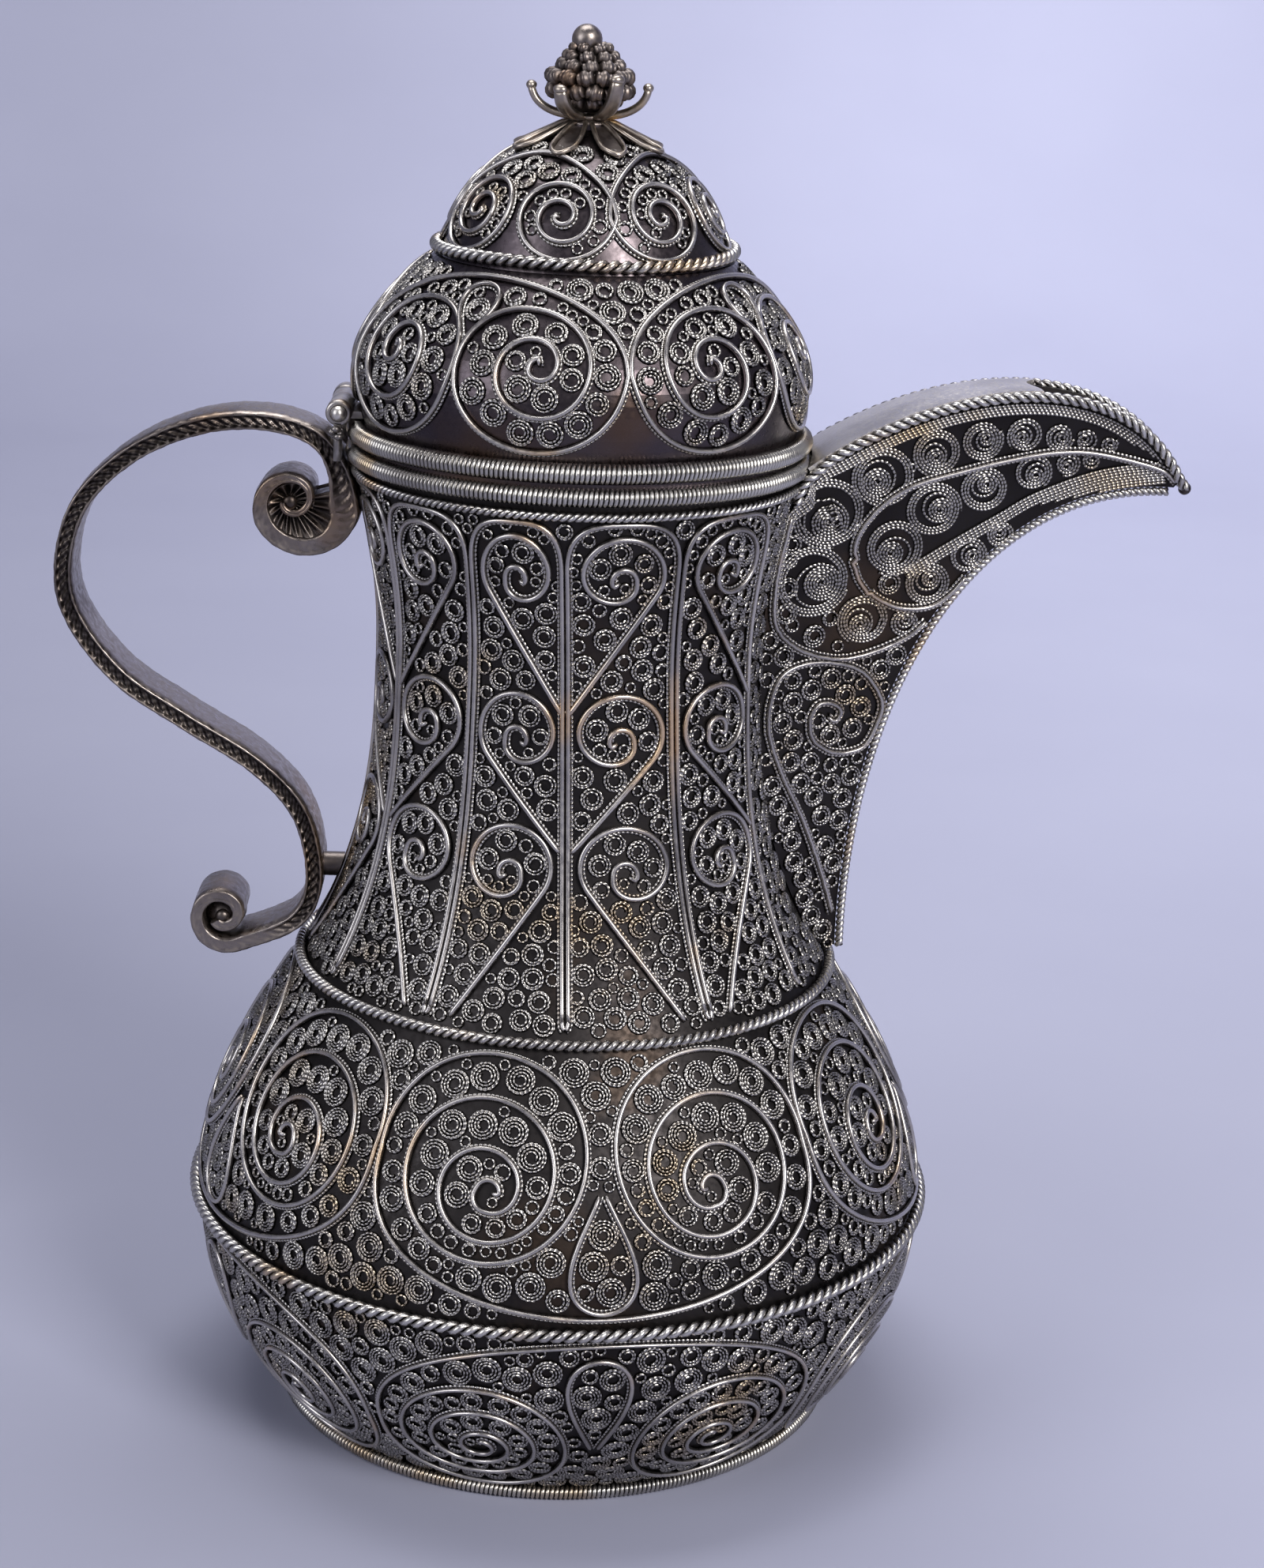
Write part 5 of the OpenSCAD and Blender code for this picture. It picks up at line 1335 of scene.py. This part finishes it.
volute_run = float(run[np.argmin(np.linalg.norm(middle - body_line[-1], axis=1))])
print("handle strap:", round(run[-1], 1), "mm along its middle")


# %% Handle strap
NOTCH_PITCH = 1.9


def strap_section(u, half, notch, wander):
    """Corners across the strap's thickness (n) and width (y) for each place u along it: rim,
    channel, rim on one side, then the same on the other. The channel's depth is in proportion to
    cut = 0.2 + 0.8 |sin(pi (u / NOTCH_PITCH + 0.7 q))|^0.8 with q from -1 to 1 across the channel,
    so that the notches slant."""
    q = np.linspace(-1, 1, 9)
    rim = 0.36 + 0.14 * wander
    floor_n = (half - rim - 0.12)[:, None] * q
    cut = 0.2 + 0.8 * np.abs(np.sin(np.pi * (u[:, None] / NOTCH_PITCH + 0.7 * q))) ** 0.8
    deep = notch[:, None] * cut * (1 - q ** 6)
    edge, lip = half[:, None] * 0.94, (half - rim)[:, None]
    side_n = np.concatenate([-edge, -lip, floor_n, lip, edge], 1)
    full = np.zeros_like(half)[:, None]
    deep = deep + 0.04 * notch[:, None]
    side_y = HANDLE_W / 2 - np.concatenate([full + 0.05, full, deep, full, full + 0.05], 1)
    crown = np.stack([half + 0.12, half + 0.22, half + 0.12], 1)
    crown_y = np.array([0.55, 0, -0.55]) * HANDLE_W / 2
    n = np.concatenate([side_n, crown, side_n[:, ::-1], -half[:, None] * np.ones(3)], 1)
    y = np.concatenate([side_y, np.broadcast_to(crown_y, crown.shape), -side_y[:, ::-1],
                        np.broadcast_to(-crown_y, crown.shape)], 1)
    return n, y, cut


half = np.interp(run, [0, 30, 50, volute_run, volute_run + 21, volute_run + 32, run[-1]],
                 [0.95, 1.35, 1.55, 1.5, 1.5, 0.7, 0.5])
wander = sum(np.sin(run * w + p) for w, p in ((0.9, 0.4), (1.7, 2.1), (3.1, 4.0))) / 3
half = half + 0.07 * wander
plain = smooth((run - curl_run - 4) / 10) * (1 - smooth((run - volute_run + 8) / 12))
n, y, cut = strap_section(run, half, 0.8 * plain + 0.1, wander)
n = np.where(n < 0, n * (1 + 1.5 * np.exp(-((run - volute_run + 1) / 6.5) ** 2))[:, None], n)
heading = unit(np.gradient(middle, axis=0))
across = np.stack([-heading[:, 1], heading[:, 0]], -1)
points = np.stack([middle[:, :1] + across[:, :1] * n, y, middle[:, 1:] + across[:, 1:] * n], -1)
FLUTES, FLUTE_A = 8, np.linspace(-0.5, 2 * np.pi, 175)


def fluted_shell(side):
    """The shell inside the upper scroll: rays from the eye to the first turn, y lowered by
    |sin(FLUTES a)| in each flute and by 0.6 mm near the eye."""
    share = np.linspace(0.0, 1.0, 14)
    a = FLUTE_A
    wound_r = through(np.arange(len(VOLUTE)), VOLUTE, np.maximum(a, 0) * 2 / np.pi)
    rho = 0.6 + (np.where(a < 0, VOLUTE[0] / np.cos(a), wound_r) - 1.2)[:, None] * share
    turn = (math.radians(VOLUTE_START) - a)[:, None]
    eye_at = VOLUTE_AT + DRIFT * (1 - share[None, :, None])
    flute = np.abs(np.sin(FLUTES * a))[:, None] * np.sin(np.pi * share ** 0.8)
    y = side * (HANDLE_W / 2 - 1.0 - flute - 0.6 * (1 - share))
    return np.stack([eye_at[..., 0] + rho * np.cos(turn), y, eye_at[..., 1] + rho * np.sin(turn)], -1)


shell = np.concatenate([fluted_shell(1), fluted_shell(-1)[:, ::-1]], 1)
eyes = []
for (x, z), squash in ((VOLUTE_AT + DRIFT, (1, 0.7, 1)), (CURL_AT, (1, 0.8, 1))):
    eyes += [ball(np.array([x, side * 4.9, z]), 1.3, squash=squash) for side in (-1, 1)]
eyes.append(ball(np.array([CURL_AT[0], 0, CURL_AT[1]]), 3.9, rings=16, turns=24, squash=(1, 1.2, 1)))
handle = piece("handle_strap", [closed_tube(points, flip=True), closed_tube(shell, flip=True)] + eyes,
               "pot", "cast", CAST, "handle")
# painted shade: the channel floors darken more where a notch cuts deeper, the shell darkens in its flutes,
# and the balls in the scroll eyes take 0.7
sunk = np.zeros(points.shape[:2])
sunk[:, 2:11] = sunk[:, 18:27] = plain[:, None] * (0.6 + 0.4 * cut ** 2)
flutes = 0.4 + 0.55 * np.abs(np.sin(FLUTES * FLUTE_A))[:, None] * np.ones(shell.shape[1])
hollow = np.full(len(handle.data.vertices), 0.7, np.float32)
hollow[:sunk.size + flutes.size] = np.concatenate([sunk.ravel(), flutes.ravel()])
handle.data.attributes.new("hollow", "FLOAT", "POINT").data.foreach_set("value", hollow)
print("sunk share of the handle:", round(float(hollow.mean()), 2))
# %% [markdown]
# ## Finial
#
# A wire-rimmed flower lies on the crown, a calyx of curled strips stands on it, and
# above that comes a cluster of ribbed beads, like a mulberry, with a ball on top.
# Petals are grids over (along, across), bent by a height formula.

# %% Finial
CROWN_Z, PETAL_T = 234.02, 0.8
CALYX_Z = CROWN_Z + PETAL_T


def turned(part, a):
    """A part turned about the pot's axis by a degrees."""
    v, q, uv, caps = part
    c, s = math.cos(math.radians(a)), math.sin(math.radians(a))
    return np.stack([v[:, 0] * c - v[:, 1] * s, v[:, 0] * s + v[:, 1] * c, v[:, 2]], -1), q, uv, caps


PETAL_W, PETAL_L = 2.9, 12.4
CROWN_LINE = np.linspace(224.0, 233.2, 60)


def petal_outline(f):
    """Place from the axis, 1 + PETAL_L (1 - cos a) / 2, and half width,
    PETAL_W (0.62 - 0.38 cos a) sin a, along a spoon petal, with a = pi f."""
    a = np.pi * f
    return 1 + PETAL_L * (1 - np.cos(a)) / 2, PETAL_W * (0.62 - 0.38 * np.cos(a)) * np.sin(a)


def petal_height(x):
    """Height over the lid's crown: 1 mm above it at the hub, less in the middle, and up a little
    at the tip."""
    crown = np.interp(x, radius(CAP, CROWN_LINE)[::-1], CROWN_LINE[::-1])
    dip = 0.25 * np.sin(np.pi * np.clip((x - 3) / 9, 0, 1))
    return crown + 1.0 - dip + 0.5 * smooth((x - 10.5) / 3)


def flower_petal():
    """The dish inside a petal's wire, hollowed by 0.3 (1 - across^2)."""
    f, w = np.meshgrid(np.linspace(0.02, 0.985, 15), np.linspace(-1, 1, 9), indexing="ij")
    x, half_w = petal_outline(f)
    top = np.stack([x, half_w * w, petal_height(x) - 0.3 * (1 - w ** 2)], -1)
    return slab(top, top + np.array([0, 0, -0.3]))


def petal_wire():
    """A round wire along the petal's outline."""
    x, half_w = petal_outline(np.linspace(0.05, 0.985, 26))
    one = np.stack([x, half_w, petal_height(x) + 0.15], -1)
    path = np.concatenate([one, (one * [1, -1, 1])[::-1]])
    return sweep(path, [0, 0, 1.0], circle_section(0.85, 7))


petals, petal_rims = [], []
for k in range(8):
    a = FRONT + 45 * (k + 0.5)
    petals.append(turned(flower_petal(), a))
    petal_rims.append(turned(petal_wire(), a))


def turned_body(profile):
    """A lathe body: profile (r, z) from the axis below to the axis above."""
    p = np.asarray(profile, float)[1:-1]
    turn = np.linspace(0, 2 * np.pi, 28, endpoint=False)
    rings = np.stack([p[:, :1] * np.cos(turn), p[:, :1] * np.sin(turn),
                      np.broadcast_to(p[:, 1:], (len(p), 28))], -1)
    return closed_fans(rings, [0, 0, profile[0][1]], [0, 0, profile[-1][1]], flip=True)


petals.append(turned_body([(0, 233.6), (3.9, 233.6), (4.0, 234.2), (3.4, 234.8), (0, 234.82)]))
piece("flower_dishes", petals, "lid", "cast", DARK, "finial_flower")
piece("petal_wires", petal_rims, "lid", "cast", PETAL)


STRIP_T, STRIP_BEND = 0.95, 0.93


def calyx_strip(reach, rise):
    """A narrow strip that runs out and curls up: z = base + rise f^2.2, with a hollow back. It is
    thickened across its own slope."""
    f, w = np.meshgrid(np.linspace(0, 1, 15), np.linspace(-1, 1, 7), indexing="ij")
    x = 1 + reach * np.sin(np.pi / 2 * f * STRIP_BEND)
    half_w = 0.95 + 0.4 * np.sin(np.pi * np.minimum(f * 0.85, 1)) - 0.1 * f
    z = CALYX_Z + 0.6 + rise * f ** 2.2
    run = unit(np.stack([np.gradient(x, axis=0), 0 * x, np.gradient(z, axis=0)], -1))
    down = np.stack([run[..., 2], 0 * x, -run[..., 0]], -1)
    top = np.stack([x, half_w * w, z], -1) - down * (0.35 * w ** 2)[..., None]
    return slab(top, top + down * STRIP_T)


sepals = []
for k in range(6):
    a = FRONT + 60 * (k + 0.5)
    reach, rise = (8.0, 6.4) if k % 3 == 0 else (8.7, 4.6)
    sepals.append(turned(calyx_strip(reach, rise), a))
    tip = np.array([1.25 + reach * math.sin(math.pi / 2 * STRIP_BEND), 0, CALYX_Z + 0.7 + rise])
    sepals.append(turned(ball(tip, 1.1, squash=(0.85, 1.15, 0.75)), a))
sepals.append(turned_body([(r, CALYX_Z + up) for r, up in (
    (0, -0.02), (3.3, 0), (3.4, 0.5), (2.8, 0.8), (0, 0.82))]))
piece("calyx_strips", sepals, "lid", "cast", PETAL, "finial_calyx")
BEAD_RIDGES = 3


def ribbed_bead(middle, axis, r):
    """A bead wound from thick wire: the radius about its axis is r (0.7 + 0.3 |cos|) over its ridges."""
    polar = np.linspace(0, np.pi, 6 * BEAD_RIDGES + 3)[1:-1]
    turn = np.linspace(0, 2 * np.pi, 12, endpoint=False)
    ridges = np.abs(np.cos(polar * BEAD_RIDGES + BEAD_RIDGES * np.pi / 2))
    bulge = r * np.sin(polar) ** 0.6 * (0.7 + 0.3 * ridges)
    axis = unit(np.asarray(axis, float))
    a = unit(np.cross(axis, [0.2, 0.1, 1.0]))
    b = np.cross(axis, a)
    p = middle + axis * (np.cos(polar) * r)[:, None, None] + bulge[:, None, None] * around(a, b, turn)
    return closed_fans(p, middle + axis * r, middle - axis * r)


MULBERRY_CORE = [(0, 236.0), (2.6, 236.0), (3.4, 238.5), (5.6, 240.0), (5.4, 242.2), (3.9, 243.8),
                 (2.8, 245.2), (2.2, 246.6), (0, 246.7)]
BEAD_ROWS = [(4.4, 237.9, 9, 1.4), (6.3, 239.5, 13, 1.55), (6.4, 241.8, 13, 1.5), (4.9, 243.5, 10, 1.4),
             (3.9, 245.1, 8, 1.2), (3.0, 246.5, 7, 1.0)]
beads = [turned_body(MULBERRY_CORE)]
for r, z, count, size in BEAD_ROWS:
    for k in range(count):
        a = 2 * np.pi * (k + 0.5 * (z > 240.5) + 0.3 * (z > 244)) / count
        out = np.array([math.cos(a), math.sin(a), 0])
        tilt = out * 0.15 + np.array([-math.sin(a), math.cos(a), 0]) + [0, 0, 0.25 if k % 2 else -0.2]
        beads.append(ribbed_bead(out * r + [0, 0, z], tilt, size))
piece("mulberry_beads", beads, "lid", "fittings", DARK, "finial_beads")
piece("top_ball", [ball(np.array([-0.7, 0, 247.85]), 2.6, rings=20, turns=28),
                   turned_body([(0, 244.9), (1.9, 244.9), (2.1, 245.5), (1.5, 246.0), (0, 246.1)])],
      "lid", "cast", CAST, "finial_ball")

# %% [markdown]
# ## Hinge
#
# The knuckles are short tubes: wire rings outside, with the pin's domed end seen in
# each ring. The pot's knuckles stand on legs, and drops of old solder sit below.

# %% Hinge
HINGE_X, HINGE_Z, BARREL_R, BEVEL = -41.5, 184.62, 2.1, 0.3


def tube(y0, y1, r, hole):
    """A ring-ended tube along Y between y0 and y1."""
    turn = np.linspace(0, 2 * np.pi, 32, endpoint=False)
    profile = np.array([[y0 + BEVEL, r], [y1 - BEVEL, r], [y1, r - BEVEL],
                        [y1, hole], [y0, hole], [y0, r - BEVEL]])
    return grid(np.stack([HINGE_X + profile[:, 1:] * np.cos(turn), np.broadcast_to(profile[:, :1], (6, 32)),
                          HINGE_Z + profile[:, 1:] * np.sin(turn)], -1), closed_u=True, closed_v=True)


def block(x0, x1, y0, y1, z0, z1):
    """A plain box as a swept square."""
    middle = np.array([(x0 + x1) / 2, (y0 + y1) / 2])
    path = np.array([[*middle, z0], [*middle, (z0 + z1) / 2], [*middle, z1]])
    w, d = (x1 - x0) / 2, (y1 - y0) / 2
    return sweep(path, [0, 1.0, 0], np.array([[-w, -d], [w, -d], [w, d], [-w, d]]))


knuckles, solder = [], []
rng = np.random.default_rng(5)
for side in (-1, 1):
    y0, y1 = sorted((side * 5.6, side * 9.5))
    knuckles.append(tube(y0, y1, BARREL_R + 0.15, 1.3))
    leg = sorted((side * 6.4, side * 9.5))
    knuckles.append(block(-42.33, -41.03, *leg, 176.3, HINGE_Z - BARREL_R + 0.35))
    for k in range(11):
        place = np.array([-41.8 + rng.uniform(-0.9, 0.9), side * rng.uniform(8.0, 10.0),
                          rng.uniform(180.2, 182.2)])
        solder.append(ball(place, rng.uniform(0.45, 0.85), rings=6, turns=9, squash=(1.1, 1, 0.8)))
piece("pot_hinge_rings", knuckles + solder, "pot", "fittings", FITTING, "pot_knuckles")

# %% [markdown]
# ## CAD pieces that keep their shape
#
# The turned and folded sheet is exact already, so it keeps its CAD mesh and only
# takes its finish.

# %% Finishes for the kept pieces
def dress(name, material):
    """Gives a CAD piece its finish through its object's own material slots."""
    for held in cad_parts[name].material_slots:
        held.link = "OBJECT"
        held.material = material


for name, material in (("base_plate", BARE), ("lower_belly", SHEET_TARNISH_AND_SHADE), ("upper_belly", SHEET_TARNISH_AND_SHADE),
                       ("neck", SHEET_TARNISH_AND_SHADE), ("lid_collar", BARE), ("lid_lower_dome", BARE),
                       ("lid_upper_dome", BARE), ("handle_lug", DARK), ("hinge_pin", PLATE),
                       ("lid_knuckle", FITTING), ("finial_stem", DARK)):
    dress(name, material)
